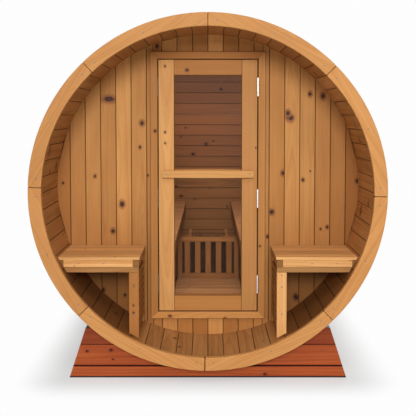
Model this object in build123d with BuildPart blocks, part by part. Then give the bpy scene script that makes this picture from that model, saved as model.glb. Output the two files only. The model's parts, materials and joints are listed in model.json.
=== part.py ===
"""Barrel sauna: a lying barrel of coopered staves with an open porch, a glazed door and a cabin.

The barrel's axis runs along Y and the open porch faces -Y.  Z = 0 is the ground under the two
cradles, and X = Y = 0 is the middle of the barrel.  Inside the barrel a place is given by x, by its
depth behind the front ring's face, and by its height over the barrel's axis.  Sizes are in mm.

The skilled work is the coopering: every stave is planed to its share of the circle, carries a
V tongue on one edge and the groove for its neighbour's tongue on the other, and is cut with two
crozes that hold the end walls.
"""

import os
from math import cos, radians, sin, sqrt, tan

from build123d import *

os.makedirs("parts", exist_ok=True)

# ---- the barrel -------------------------------------------------------------------------------
overall_length = 2530.0
barrel_inner_r = 925.0  # to the flat inner faces of the staves
stave_count = 64
stave_thick = 42.0
stave_gap = 0.3  # between the edges of two staves
stave_bevel = 2.5  # on the inner arrises
tongue_root = 18.0
tongue_length = 6.0
ring_width = 75.0
ring_thick = 32.0
ring_pieces = 8  # each piece spans one eighth of the staves
ground_gap = 77.0  # under the lowest point of the rings
seat = 0.3  # joiner's clearance where one piece is let into or laid on another
croze_depth = 10.0

# ---- steel bands ------------------------------------------------------------------------------
band_width = 25.0
band_thick = 1.2
band_inset = 50.0  # from the ring's outer face to the outer bands
lug_height = 24.0
lug_thick = 4.0
lug_gap = 40.0

# ---- end walls --------------------------------------------------------------------------------
wall_thick = 40.0
porch_depth = 440.0
rear_overhang = 70.0
board_pitch = 94.0
board_gap = 0.4
board_bevel = 3.0
back_board_drop = 24.0  # of a joint of the back wall under the barrel's axis

# ---- doorway and door -------------------------------------------------------------------------
leaf_width = 605.0
leaf_height = 1545.0
leaf_thick = 42.0
leaf_gap = 4.0
leaf_recess = 2.0  # behind the casing's face
casing_width = 46.0
casing_thick = 20.0
jamb_thick = 30.0
stop_width = 12.0
stop_clearance = 2.0
stile_width = 96.5
rail_height = 92.5
glass_thick = 6.0
glass_rebate = 10.0

# ---- door handles -----------------------------------------------------------------------------
handle_length = 560.0
handle_height = 46.0
handle_centre_h = 77.0  # over the barrel's axis
handle_end_depth = 24.0
handle_mid_depth = 44.0
handle_bar_thick = 18.0
handle_foot = 85.0  # length of each end that bears on the stile

# ---- hinges -----------------------------------------------------------------------------------
hinge_heights = (607.0, -74.0, -605.0)
hinge_length = 112.0
knuckle_r = 7.0
knuckle_count = 3  # the frame has the outer two
knuckle_sides = 12
knuckle_gap = 0.4
pin_r = 3.0
pin_clearance = 0.06
hinge_plate = 1.2
hinge_plate_depth = 30.0
axis_proud = 10.0  # from the leaf's face to the pin

# ---- porch benches ----------------------------------------------------------------------------
porch_seat_h = -367.0
bench_from_casing = 33.5  # between a porch bench and the doorway's casing
porch_bench_front = 62.0  # depth of the front slat's edge
porch_slat_count = 4
porch_slat_gap = 5.0
slat_thick = 16.0
bench_rail_height = 42.0
bench_rail_width = 34.0
rail_inset = 5.0  # of the rails under the slats' edges
fascia_thick = 20.0
outer_rail_x = 820.0
apron_height = 32.0
apron_setback = 10.0
apron_thick = 34.0
post_setback = 2.0  # of the posts and the apron behind the rail's inner face
post_width = 56.0
skirt_slat_height = 30.0
skirt_pitch = 42.0
skirt_thick = 16.0
wall_clearance = 3.0  # between a bench and an end wall

# ---- cabin benches ----------------------------------------------------------------------------
cabin_seat_h = -330.0
cabin_bench_inner_x = 197.0
cabin_slat_width = 92.0
cabin_slat_gap = 6.0
cabin_fascia_height = 90.0
cabin_fascia_thick = 28.0
cabin_skirt_x = 250.0
cabin_post_width = 45.0
cabin_post_count = 4
cabin_outer_rail_x = 800.0

# ---- duckboard floor --------------------------------------------------------------------------
floor_h = -850.0
floor_slat_width = 90.0
floor_slat_gap = 15.0
floor_slat_thick = 22.0
floor_half_width = 246.0
bearer_width = 40.0
bearer_x = 150.0

# ---- heater and its guard ---------------------------------------------------------------------
guard_depth = 1648.0
guard_half_width = 240.0
guard_height = 327.0
guard_thick = 28.0
guard_top_rail = 39.0
guard_bottom_rail = 37.0
guard_post = 34.0
guard_slat_width = 43.0
guard_slat_count = 5
guard_slat_thick = 16.0
heater_width = 320.0
heater_length = 300.0
heater_height = 300.0
heater_post = 22.0
heater_post_proud = 11.0  # of the heater's sides
heater_post_height = 327.0
heater_behind_guard = 90.0

# ---- cradles ----------------------------------------------------------------------------------
cradle_inset = 100.0
cradle_thick = 90.0
cradle_bottom_half = 798.0
cradle_top_half = 702.0
cradle_board_heights = (70.0, 127.0, 96.0)

# ---- worked out from the sizes above ----------------------------------------------------------
ring_outer_r = barrel_inner_r + ring_width
axis_z = ring_outer_r + ground_gap
half_pitch = 180.0 / stave_count
stave_outer_r = barrel_inner_r + stave_thick
stave_start = ring_thick + seat
stave_length = overall_length - 2 * stave_start
staves_per_piece = stave_count // ring_pieces
piece_angle = 360.0 / ring_pieces
fit_r = barrel_inner_r - seat  # what stands inside the barrel is scribed to this
croze_r = barrel_inner_r + croze_depth
wall_r = croze_r - seat
front_wall_depth = porch_depth
cabin_start = front_wall_depth + wall_thick
back_wall_depth = overall_length - rear_overhang - wall_thick

opening_half_width = leaf_width / 2 + leaf_gap
opening_half_height = leaf_height / 2 + leaf_gap
rough_half_width = opening_half_width + jamb_thick + seat
rough_half_height = opening_half_height + jamb_thick + seat
leaf_front = front_wall_depth - casing_thick - seat + leaf_recess
leaf_back = leaf_front + leaf_thick
hinge_x = leaf_width / 2 + leaf_gap / 2
hinge_depth = leaf_front - axis_proud
rail_length = leaf_width - 2 * stile_width
glass_hole_height = leaf_height - 2 * rail_height

octants = (
    "top_right",
    "upper_right",
    "lower_right",
    "bottom_right",
    "bottom_left",
    "lower_left",
    "upper_left",
    "top_left",
)


def section(depth):
    """The plane across the barrel at a depth, centred on the axis and facing the porch."""
    return Plane(origin=(0, depth - overall_length / 2, axis_z), x_dir=(1, 0, 0), z_dir=(0, -1, 0))


def level(height):
    """The level plane at a height over the barrel's axis, with the front ring's face at its y = 0."""
    return Plane(origin=(0, -overall_length / 2, axis_z + height), x_dir=(1, 0, 0), z_dir=(0, 0, 1))


def bar(x_from, x_to, depth_from, depth_to, low, high):
    """Add a square-edged bar between two x, two depths and two heights over the axis."""
    with Locations((x_from, depth_from - overall_length / 2, axis_z + low)):
        Box(x_to - x_from, depth_to - depth_from, high - low, align=Align.MIN)


def scribe(depth_from, depth_to, radius):
    """Trim the part being built to the staves' flat faces between two depths."""
    with BuildSketch(section(depth_from)) as bore:
        RegularPolygon(radius, stave_count, major_radius=False)
    extrude(bore.sketch, amount=depth_from - depth_to, mode=Mode.INTERSECT)


# ---- profiles ---------------------------------------------------------------------------------
def stave_edge(radius, side):
    """The point of a stave's edge at a radius, on the side +1 or -1 of its middle."""
    return (side * (radius * tan(radians(half_pitch)) - stave_gap / 2), radius)


tongue_mid_r = barrel_inner_r + stave_thick / 2
inner_x, _ = stave_edge(barrel_inner_r, 1)


def tongue_outline(side):
    """The V tongue's three corners on one edge of a stave, from the inside out.

    It points squarely out of the joint.  On the side -1 the same outline, moved by the gap, is the
    groove for the next stave's tongue.
    """
    edge_x, edge_r = stave_edge(tongue_mid_r, side)
    tilt = radians(half_pitch)
    return [
        stave_edge(tongue_mid_r - tongue_root / 2, side),
        (edge_x + tongue_length * cos(tilt), edge_r - side * tongue_length * sin(tilt)),
        stave_edge(tongue_mid_r + tongue_root / 2, side),
    ]


with BuildSketch() as stave_profile:
    with BuildLine():
        Polyline(
            (inner_x - stave_bevel, barrel_inner_r),
            stave_edge(barrel_inner_r + stave_bevel, 1),
            *tongue_outline(1),
            stave_edge(stave_outer_r, 1),
            stave_edge(stave_outer_r, -1),
            *reversed(tongue_outline(-1)),
            stave_edge(barrel_inner_r + stave_bevel, -1),
            (stave_bevel - inner_x, barrel_inner_r),
            close=True,
        )
    make_face()

with BuildSketch() as ring_profile:
    # one segment of the ring, left of its joint at the top; its inner edge is flush with the staves
    Circle(ring_outer_r)
    RegularPolygon(barrel_inner_r, stave_count, major_radius=False, mode=Mode.SUBTRACT)
    with Locations((-seat / 2, 0)):
        Rectangle(2 * ring_outer_r, 2 * ring_outer_r, align=(Align.MAX, Align.CENTER), mode=Mode.INTERSECT)
    with Locations(Location((0, 0, 0), (0, 0, piece_angle))):
        with Locations((seat / 2, 0)):
            Rectangle(2 * ring_outer_r, 2 * ring_outer_r, align=(Align.MIN, Align.CENTER), mode=Mode.INTERSECT)

board_face = board_pitch - board_gap
with BuildSketch() as board_profile:
    # across the board is x; y = 0 is its outer face, whose arrises are bevelled for the V joint
    with BuildLine():
        Polyline(
            (board_bevel, 0),
            (board_face - board_bevel, 0),
            (board_face, board_bevel),
            (board_face, wall_thick),
            (0, wall_thick),
            (0, board_bevel),
            close=True,
        )
    make_face()

# ---- staves -----------------------------------------------------------------------------------
for number, octant in enumerate(octants):
    first_angle = -(number + 1) * piece_angle + half_pitch
    with BuildPart() as staves:
        with BuildSketch(section(stave_start)):
            with PolarLocations(0, staves_per_piece, start_angle=first_angle, angular_range=piece_angle):
                add(stave_profile.sketch)
        extrude(amount=-stave_length)
        for wall_depth in (front_wall_depth, back_wall_depth):
            with BuildSketch(section(wall_depth - seat)):
                RegularPolygon(croze_r, stave_count, major_radius=False)
            extrude(amount=-(wall_thick + 2 * seat), mode=Mode.SUBTRACT)
    staves.part.label = f"staves_{octant}"
    export_step(staves.part, f"parts/staves_{octant}.step")

# ---- end rings --------------------------------------------------------------------------------
for name, ring_depth in (("front_ring", 0), ("rear_ring", overall_length - ring_thick)):
    with BuildPart() as ring:
        with BuildSketch(section(ring_depth)):
            with PolarLocations(0, ring_pieces):
                add(ring_profile.sketch)
        extrude(amount=-ring_thick)
    ring.part.label = name
    export_step(ring.part, f"parts/{name}.step")

# ---- steel bands ------------------------------------------------------------------------------
band_r = stave_outer_r + seat
rear_band_depth = overall_length - band_inset - band_width
middle_band_depth = (overall_length - band_width) / 2
band_places = (("front", band_inset), ("middle", middle_band_depth), ("rear", rear_band_depth))
for place, band_depth in band_places:
    with BuildPart() as band:
        with BuildSketch(section(band_depth)):
            # a tight band lies flat on each stave and is bent over each joint
            RegularPolygon(band_r + band_thick, stave_count, major_radius=False)
            RegularPolygon(band_r, stave_count, major_radius=False, mode=Mode.SUBTRACT)
            # it is open between its two lugs, at the right of the barrel
            with Locations((band_r, 0)):
                Rectangle(lug_height, lug_gap, mode=Mode.SUBTRACT)
                with GridLocations(0, lug_gap + lug_thick, 1, 2):
                    Rectangle(lug_height, lug_thick, align=(Align.MIN, Align.CENTER))
        extrude(amount=-band_width)
    band.part.label = f"steel_band_{place}"
    export_step(band.part, f"parts/steel_band_{place}.step")

# ---- front wall -------------------------------------------------------------------------------
boards_each_side = int(wall_r // board_pitch) + 1
left_edge = -boards_each_side * board_pitch
wall_zones = (
    ("front_wall_left", -wall_r, -rough_half_width, -wall_r, wall_r),
    ("front_wall_right", rough_half_width, wall_r, -wall_r, wall_r),
    ("front_wall_over_door", -rough_half_width, rough_half_width, rough_half_height, wall_r),
    ("front_wall_under_door", -rough_half_width, rough_half_width, -wall_r, -rough_half_height),
)
for name, x_from, x_to, low, high in wall_zones:
    with BuildPart() as wall:
        with BuildSketch(level(low)):
            with Locations((0, front_wall_depth)):
                for number in range(2 * boards_each_side):
                    with Locations((left_edge + number * board_pitch + board_gap / 2, 0)):
                        add(board_profile.sketch)
        extrude(amount=high - low)
        # ripped to the zone, with the joiner's clearance where two zones meet
        zone_x_from = x_from + seat / 2
        zone_x_to = x_to - seat / 2
        with Locations((zone_x_from, front_wall_depth - overall_length / 2, axis_z + low)):
            Box(zone_x_to - zone_x_from, wall_thick, high - low, align=Align.MIN, mode=Mode.INTERSECT)
        scribe(front_wall_depth, cabin_start, wall_r)
    wall.part.label = name
    export_step(wall.part, f"parts/{name}.step")

# ---- back wall --------------------------------------------------------------------------------
side_plane = Plane(
    origin=(-wall_r, back_wall_depth - overall_length / 2, axis_z), x_dir=(0, 0, 1), z_dir=(-1, 0, 0)
)
with BuildPart() as back_wall:
    with BuildSketch(side_plane):
        for number in range(2 * boards_each_side + 1):
            with Locations((left_edge + number * board_pitch + board_gap / 2 - back_board_drop, 0)):
                add(board_profile.sketch)
    extrude(amount=-2 * wall_r)
    scribe(back_wall_depth, back_wall_depth + wall_thick, wall_r)
back_wall.part.label = "back_wall"
export_step(back_wall.part, "parts/back_wall.step")

# ---- doorway ----------------------------------------------------------------------------------
jamb_out_x = opening_half_width + jamb_thick
jamb_out_h = opening_half_height + jamb_thick
with BuildPart() as door_frame:
    for side in (-1, 1):
        x_pair = sorted((side * opening_half_width, side * jamb_out_x))
        bar(*x_pair, front_wall_depth, cabin_start, -opening_half_height + seat, opening_half_height - seat)
        h_pair = sorted((side * opening_half_height, side * jamb_out_h))
        bar(-jamb_out_x, jamb_out_x, front_wall_depth, cabin_start, *h_pair)
door_frame.part.label = "door_frame"
export_step(door_frame.part, "parts/door_frame.step")

stop_front = leaf_back + stop_clearance
with BuildPart() as door_stops:
    stop_in_x = opening_half_width - stop_width
    stop_in_h = opening_half_height - stop_width
    for side in (-1, 1):
        x_pair = sorted((side * stop_in_x, side * (opening_half_width - seat)))
        bar(*x_pair, stop_front, cabin_start, -stop_in_h + seat, stop_in_h - seat)
        h_pair = sorted((side * stop_in_h, side * (opening_half_height - seat)))
        bar(-opening_half_width + seat, opening_half_width - seat, stop_front, cabin_start, *h_pair)
door_stops.part.label = "door_stops"
export_step(door_stops.part, "parts/door_stops.step")

casing_front = front_wall_depth - seat - casing_thick
casing_half_width = opening_half_width + casing_width
casing_half_height = opening_half_height + casing_width
with BuildPart() as door_casing:
    with BuildSketch(section(casing_front)):
        # four mitred boards: the frame is cut through along its corner mitres
        Rectangle(2 * casing_half_width, 2 * casing_half_height)
        Rectangle(2 * opening_half_width, 2 * opening_half_height, mode=Mode.SUBTRACT)
        corner_x = opening_half_width + casing_width / 2
        corner_h = opening_half_height + casing_width / 2
        for side_x in (-1, 1):
            for side_h in (-1, 1):
                with Locations(Location((side_x * corner_x, side_h * corner_h, 0), (0, 0, 45 * side_x * side_h))):
                    Rectangle(2 * casing_width, seat, mode=Mode.SUBTRACT)
    extrude(amount=-casing_thick)
door_casing.part.label = "door_casing"
export_step(door_casing.part, "parts/door_casing.step")

# ---- door leaf --------------------------------------------------------------------------------
glass_front = leaf_front + (leaf_thick - glass_thick) / 2
glass_half_width = rail_length / 2 + glass_rebate
glass_half_height = glass_hole_height / 2 + glass_rebate
groove = (glass_front - seat, glass_front + glass_thick + seat)


def cut_glass_groove():
    """Plough the groove that the glass stands in."""
    with BuildSketch(section(groove[0])) as pocket:
        Rectangle(2 * (glass_half_width + seat), 2 * (glass_half_height + seat))
    extrude(pocket.sketch, amount=groove[0] - groove[1], mode=Mode.SUBTRACT)


with BuildPart() as door_stiles:
    for side in (-1, 1):
        x_pair = sorted((side * leaf_width / 2, side * (rail_length / 2)))
        bar(*x_pair, leaf_front, leaf_back, -leaf_height / 2, leaf_height / 2)
    cut_glass_groove()
door_stiles.part.label = "door_stiles"
export_step(door_stiles.part, "parts/door_stiles.step")

with BuildPart() as door_rails:
    rail_half = rail_length / 2 - seat
    for side in (-1, 1):
        h_pair = sorted((side * leaf_height / 2, side * glass_hole_height / 2))
        bar(-rail_half, rail_half, leaf_front, leaf_back, *h_pair)
    cut_glass_groove()
door_rails.part.label = "door_rails"
export_step(door_rails.part, "parts/door_rails.step")

with BuildPart() as door_glass:
    bar(
        -glass_half_width,
        glass_half_width,
        glass_front,
        glass_front + glass_thick,
        -glass_half_height,
        glass_half_height,
    )
door_glass.part.label = "door_glass"
export_step(door_glass.part, "parts/door_glass.step")

# ---- door handles -----------------------------------------------------------------------------
# A bow bar in plan: its back lies flat on both stiles and is hollowed between them for the hand.
handle_half = handle_length / 2
hollow_half = handle_half - handle_foot
for name, face, outward in (("door_handle", leaf_front, -1), ("door_inner_handle", leaf_back, 1)):
    with BuildPart() as handle:
        with BuildSketch(level(handle_centre_h - handle_height / 2)):
            with BuildLine():
                back = face + outward * seat
                end = face + outward * handle_end_depth
                crest = face + outward * handle_mid_depth
                hollow = crest - outward * handle_bar_thick
                Polyline((-hollow_half, back), (-handle_half, back), (-handle_half, end))
                ThreePointArc((-handle_half, end), (0, crest), (handle_half, end))
                Polyline((handle_half, end), (handle_half, back), (hollow_half, back))
                ThreePointArc((hollow_half, back), (0, hollow), (-hollow_half, back))
            make_face()
        extrude(amount=handle_height)
    handle.part.label = name
    export_step(handle.part, f"parts/{name}.step")

# ---- hinges -----------------------------------------------------------------------------------
knuckle_pitch = hinge_length / knuckle_count
plate_start = hinge_depth + knuckle_r + 2 * knuckle_gap
plate_end = leaf_front + hinge_plate_depth


def hinge_leaf(bottom, knuckles, plate_x, bore_r):
    """Add one leaf of a butt hinge: its plate in the gap and the knuckles it carries."""
    bar(plate_x, plate_x + hinge_plate, plate_start, plate_end, bottom, bottom + hinge_length)
    for knuckle in knuckles:
        low = bottom + knuckle * knuckle_pitch + knuckle_gap / 2
        with BuildSketch(level(low)) as outline:
            with Locations((hinge_x, hinge_depth)):
                RegularPolygon(knuckle_r, knuckle_sides)
            with Locations((plate_x, hinge_depth)):
                Rectangle(hinge_plate, plate_start - hinge_depth, align=Align.MIN)
            with Locations((hinge_x, hinge_depth)):
                if bore_r:
                    Circle(bore_r, mode=Mode.SUBTRACT)
        extrude(outline.sketch, amount=knuckle_pitch - knuckle_gap)


# the pin is fast in the frame's knuckles and runs in the door's
with BuildPart() as frame_hinges:
    for height in hinge_heights:
        bottom = height - hinge_length / 2
        hinge_leaf(bottom, range(0, knuckle_count, 2), opening_half_width - seat - hinge_plate, 0)
        with BuildSketch(level(bottom + knuckle_pitch - knuckle_gap / 2)):
            with Locations((hinge_x, hinge_depth)):
                Circle(pin_r)
        extrude(amount=knuckle_pitch + knuckle_gap)
frame_hinges.part.label = "frame_hinge_leaves"
export_step(frame_hinges.part, "parts/frame_hinge_leaves.step")

with BuildPart() as door_hinges:
    for height in hinge_heights:
        bottom = height - hinge_length / 2
        hinge_leaf(bottom, range(1, knuckle_count, 2), leaf_width / 2 + seat, pin_r + pin_clearance)
door_hinges.part.label = "door_hinge_leaves"
export_step(door_hinges.part, "parts/door_hinge_leaves.step")

# ---- porch benches ----------------------------------------------------------------------------
porch_bench_back = front_wall_depth - wall_clearance
porch_run = porch_bench_back - porch_bench_front
porch_slat_width = (porch_run - (porch_slat_count - 1) * porch_slat_gap) / porch_slat_count
porch_rail_top = porch_seat_h - slat_thick - seat
porch_rail_low = porch_rail_top - bench_rail_height
porch_rail_front = porch_bench_front + rail_inset
porch_bench_inner_x = casing_half_width + bench_from_casing
apron_front = porch_rail_front + apron_setback
apron_high = porch_rail_low - seat
apron_low = apron_high - apron_height
rail_in_x = porch_bench_inner_x + rail_inset
post_in_x = rail_in_x + post_setback

with BuildPart() as porch_seat:
    for number in range(porch_slat_count):
        slat_front = porch_bench_front + number * (porch_slat_width + porch_slat_gap)
        slat_back = slat_front + porch_slat_width
        bar(porch_bench_inner_x, barrel_inner_r, slat_front, slat_back, porch_seat_h - slat_thick, porch_seat_h)
    scribe(0, front_wall_depth, fit_r)

with BuildPart() as porch_frame:
    fascia_x = (rail_in_x + bench_rail_width + seat, outer_rail_x - seat)
    bar(rail_in_x, rail_in_x + bench_rail_width, porch_rail_front, porch_bench_back, porch_rail_low, porch_rail_top)
    bar(outer_rail_x, barrel_inner_r, porch_rail_front, porch_bench_back, porch_rail_low, porch_rail_top)
    bar(*fascia_x, porch_rail_front, porch_rail_front + fascia_thick, porch_rail_low, porch_rail_top)
    bar(*fascia_x, porch_bench_back - fascia_thick, porch_bench_back, porch_rail_low, porch_rail_top)
    bar(post_in_x, barrel_inner_r, apron_front, apron_front + apron_thick, apron_low, apron_high)
    bar(
        post_in_x,
        post_in_x + post_width,
        apron_front,
        apron_front + apron_thick,
        -barrel_inner_r,
        apron_low - seat,
    )
    bar(
        post_in_x,
        post_in_x + post_width,
        porch_bench_back - apron_thick,
        porch_bench_back,
        -barrel_inner_r,
        apron_high,
    )
    scribe(0, front_wall_depth, fit_r)

skirt_x = (post_in_x + seat, post_in_x + seat + skirt_thick)
skirt_run = (apron_front + apron_thick + seat, porch_bench_back - apron_thick - seat)
skirt_foot = -sqrt(fit_r**2 - skirt_x[1] ** 2)
porch_skirt_count = int((apron_low - skirt_foot) // skirt_pitch)
with BuildPart() as porch_skirt:
    for number in range(porch_skirt_count):
        slat_high = apron_low - number * skirt_pitch
        bar(*skirt_x, *skirt_run, slat_high - skirt_slat_height, slat_high)

for piece, name in ((porch_seat, "seat"), (porch_frame, "frame"), (porch_skirt, "skirt")):
    piece.part.label = f"porch_bench_right_{name}"
    export_step(piece.part, f"parts/porch_bench_right_{name}.step")
    with BuildPart() as twin:
        mirror(piece.part, about=Plane.YZ)
    twin.part.label = f"porch_bench_left_{name}"
    export_step(twin.part, f"parts/porch_bench_left_{name}.step")

# ---- cabin benches ----------------------------------------------------------------------------
cabin_front = cabin_start + wall_clearance
cabin_back = back_wall_depth - wall_clearance
cabin_slat_count = int((cabin_back - cabin_front + cabin_slat_gap) // (cabin_slat_width + cabin_slat_gap))
cabin_slat_pitch = (cabin_back - cabin_front + cabin_slat_gap) / cabin_slat_count
cabin_rail_top = cabin_seat_h - slat_thick - seat
cabin_rail_low = cabin_rail_top - bench_rail_height
cabin_fascia_low = cabin_rail_top - cabin_fascia_height
cabin_post_x = cabin_skirt_x + skirt_thick + seat
cabin_post_gap = (cabin_back - cabin_front - cabin_post_width) / (cabin_post_count - 1)

with BuildPart() as cabin_seat:
    for number in range(cabin_slat_count):
        slat_front = cabin_front + number * cabin_slat_pitch
        slat_back = slat_front + cabin_slat_pitch - cabin_slat_gap
        bar(cabin_bench_inner_x, barrel_inner_r, slat_front, slat_back, cabin_seat_h - slat_thick, cabin_seat_h)
    scribe(cabin_start, back_wall_depth, fit_r)

with BuildPart() as cabin_frame:
    fascia_in = cabin_bench_inner_x + rail_inset
    bar(fascia_in, fascia_in + cabin_fascia_thick, cabin_front, cabin_back, cabin_fascia_low, cabin_rail_top)
    bar(
        cabin_post_x,
        cabin_post_x + cabin_post_width,
        cabin_front,
        cabin_back,
        cabin_rail_low,
        cabin_rail_top,
    )
    bar(cabin_outer_rail_x, barrel_inner_r, cabin_front, cabin_back, cabin_rail_low, cabin_rail_top)
    for number in range(cabin_post_count):
        post_front = cabin_front + number * cabin_post_gap
        post_back = post_front + cabin_post_width
        bar(
            cabin_post_x,
            cabin_post_x + cabin_post_width,
            post_front,
            post_back,
            -barrel_inner_r,
            cabin_rail_low - seat,
        )
        bar(
            fascia_in + cabin_fascia_thick + seat,
            cabin_post_x - seat,
            post_front,
            post_back,
            cabin_rail_low,
            cabin_rail_top,
        )
        bar(
            cabin_post_x + cabin_post_width + seat,
            cabin_outer_rail_x - seat,
            post_front,
            post_back,
            cabin_rail_low,
            cabin_rail_top,
        )
    scribe(cabin_start, back_wall_depth, fit_r)

cabin_skirt_high = cabin_fascia_low - (skirt_pitch - skirt_slat_height)
cabin_skirt_count = int((cabin_skirt_high - floor_h) // skirt_pitch)
with BuildPart() as cabin_skirt:
    for number in range(cabin_skirt_count):
        slat_high = cabin_skirt_high - number * skirt_pitch
        bar(
            cabin_skirt_x,
            cabin_skirt_x + skirt_thick,
            cabin_front,
            cabin_back,
            slat_high - skirt_slat_height,
            slat_high,
        )

for piece, name in ((cabin_seat, "seat"), (cabin_frame, "frame"), (cabin_skirt, "skirt")):
    piece.part.label = f"cabin_bench_right_{name}"
    export_step(piece.part, f"parts/cabin_bench_right_{name}.step")
    with BuildPart() as twin:
        mirror(piece.part, about=Plane.YZ)
    twin.part.label = f"cabin_bench_left_{name}"
    export_step(twin.part, f"parts/cabin_bench_left_{name}.step")

# ---- duckboard floor --------------------------------------------------------------------------
floor_pitch_count = int((cabin_back - cabin_front + floor_slat_gap) // (floor_slat_width + floor_slat_gap))
floor_pitch = (cabin_back - cabin_front + floor_slat_gap) / floor_pitch_count
with BuildPart() as floor:
    for number in range(floor_pitch_count):
        slat_front = cabin_front + number * floor_pitch
        slat_back = slat_front + floor_slat_width
        bar(-floor_half_width, floor_half_width, slat_front, slat_back, floor_h - floor_slat_thick, floor_h)
    for side in (-1, 1):
        x_pair = sorted((side * bearer_x, side * (bearer_x + bearer_width)))
        bar(*x_pair, cabin_front, cabin_back, -barrel_inner_r, floor_h - floor_slat_thick - seat)
    scribe(cabin_start, back_wall_depth, fit_r)
floor.part.label = "duckboard_floor"
export_step(floor.part, "parts/duckboard_floor.step")

# ---- heater guard -----------------------------------------------------------------------------
guard_low = floor_h + seat
guard_high = guard_low + guard_height
guard_inner_half = guard_half_width - guard_post
guard_slat_room = 2 * guard_inner_half / guard_slat_count
with BuildPart() as heater_guard:
    with BuildSketch(section(guard_depth)):
        with Locations((0, (guard_low + guard_high) / 2)):
            Rectangle(2 * guard_half_width, guard_height)
        with Locations((0, (guard_low + guard_bottom_rail + guard_high - guard_top_rail) / 2)):
            Rectangle(
                2 * guard_inner_half, guard_height - guard_top_rail - guard_bottom_rail, mode=Mode.SUBTRACT
            )
    extrude(amount=-guard_thick)
    slat_front = guard_depth + (guard_thick - guard_slat_thick) / 2
    for number in range(guard_slat_count):
        slat_mid = -guard_inner_half + (number + 0.5) * guard_slat_room
        bar(
            slat_mid - guard_slat_width / 2,
            slat_mid + guard_slat_width / 2,
            slat_front,
            slat_front + guard_slat_thick,
            guard_low + guard_bottom_rail / 2,
            guard_high - guard_top_rail / 2,
        )
heater_guard.part.label = "heater_guard"
export_step(heater_guard.part, "parts/heater_guard.step")

# ---- heater -----------------------------------------------------------------------------------
heater_front = guard_depth + guard_thick + heater_behind_guard
heater_back = heater_front + heater_length
with BuildPart() as heater:
    bar(
        -heater_width / 2 + heater_post_proud,
        heater_width / 2 - heater_post_proud,
        heater_front + heater_post_proud,
        heater_back - heater_post_proud,
        guard_low,
        guard_low + heater_height,
    )
    for post_x in (-heater_width / 2, heater_width / 2 - heater_post):
        for post_depth in (heater_front, heater_back - heater_post):
            bar(
                post_x,
                post_x + heater_post,
                post_depth,
                post_depth + heater_post,
                guard_low,
                guard_low + heater_post_height,
            )
heater.part.label = "heater"
export_step(heater.part, "parts/heater.step")

# ---- cradles ----------------------------------------------------------------------------------
cradle_r = stave_outer_r + seat
rear_cradle_depth = overall_length - cradle_inset - cradle_thick
cradle_height = sum(cradle_board_heights)
for name, cradle_depth in (("front_cradle", cradle_inset), ("rear_cradle", rear_cradle_depth)):
    with BuildPart() as cradle:
        with BuildSketch(section(cradle_depth)):
            with BuildLine():
                Polyline(
                    (-cradle_bottom_half, -axis_z),
                    (cradle_bottom_half, -axis_z),
                    (cradle_top_half, cradle_height - axis_z),
                    (-cradle_top_half, cradle_height - axis_z),
                    close=True,
                )
            make_face()
            RegularPolygon(cradle_r, stave_count, major_radius=False, mode=Mode.SUBTRACT)
            # the cradle is built up of boards laid on edge, one on another
            seam = -axis_z
            for board_height in cradle_board_heights[:-1]:
                seam += board_height
                with Locations((0, seam)):
                    Rectangle(2 * cradle_bottom_half, seat, mode=Mode.SUBTRACT)
        extrude(amount=-cradle_thick)
    cradle.part.label = name
    export_step(cradle.part, f"parts/{name}.step")
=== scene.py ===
"""Looks of the barrel sauna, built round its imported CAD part.

Everything is in metres in the part's own frame: +Z is up, the barrel's axis runs along Y and the
open porch faces -Y.  Each timber is a section carried along its length.  It brings its own grain
frame, tone and knots as mesh attributes, and one wood shader reads them.
"""

import json
import logging
import math
from collections.abc import Callable, Sequence
from dataclasses import dataclass, field
from enum import Enum
from functools import cache, partialmethod

import bpy
import numpy as np
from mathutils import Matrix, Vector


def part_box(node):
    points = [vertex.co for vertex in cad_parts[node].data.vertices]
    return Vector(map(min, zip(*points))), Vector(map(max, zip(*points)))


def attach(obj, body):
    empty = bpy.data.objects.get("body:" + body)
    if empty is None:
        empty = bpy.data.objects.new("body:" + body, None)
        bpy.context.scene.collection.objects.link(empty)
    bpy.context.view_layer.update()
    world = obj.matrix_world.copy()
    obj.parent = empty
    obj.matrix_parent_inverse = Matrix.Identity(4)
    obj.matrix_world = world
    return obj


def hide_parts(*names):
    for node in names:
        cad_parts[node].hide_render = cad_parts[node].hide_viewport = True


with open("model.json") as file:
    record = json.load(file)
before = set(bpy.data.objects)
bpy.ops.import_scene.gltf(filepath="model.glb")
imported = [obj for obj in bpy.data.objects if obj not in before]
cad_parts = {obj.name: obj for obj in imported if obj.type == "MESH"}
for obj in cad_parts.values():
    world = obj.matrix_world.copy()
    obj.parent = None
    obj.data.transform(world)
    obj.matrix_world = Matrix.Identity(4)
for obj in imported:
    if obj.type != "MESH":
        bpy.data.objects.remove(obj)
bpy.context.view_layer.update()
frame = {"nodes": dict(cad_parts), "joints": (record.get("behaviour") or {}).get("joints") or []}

log = logging.getLogger("barrel_sauna")
Array = np.ndarray
Pair = tuple[float, float]
Colour = tuple[float, float, float]
Knots = tuple[tuple[float, float, float, float], ...]

MM = 0.001
SEAT = 0.3 * MM  # clearance where one piece is laid on another
WHITE = (1.0, 1.0, 1.0)
KNOTS_PER_TIMBER = 3


class Slot(Enum):
    """The record's material slots."""

    WOOD = "wood"
    CABIN = "cabin_wood"
    STAINED = "stained_wood"
    GLASS = "glass"
    HINGE = "hinge_steel"
    BAND = "band_steel"
    HEATER = "heater_steel"


class Along(Enum):
    """The world axis that a timber's grain follows, as the rows along, across and through."""

    X = ((1, 0, 0), (0, 0, 1), (0, -1, 0))
    Z = ((0, 0, 1), (1, 0, 0), (0, 1, 0))
    X_FLAT = ((1, 0, 0), (0, 1, 0), (0, 0, 1))
    Y_EDGE = ((0, 1, 0), (0, 0, 1), (1, 0, 0))

    def axes(self) -> Array:
        """The three unit rows as an array."""
        return np.array(self.value, float)


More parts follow.
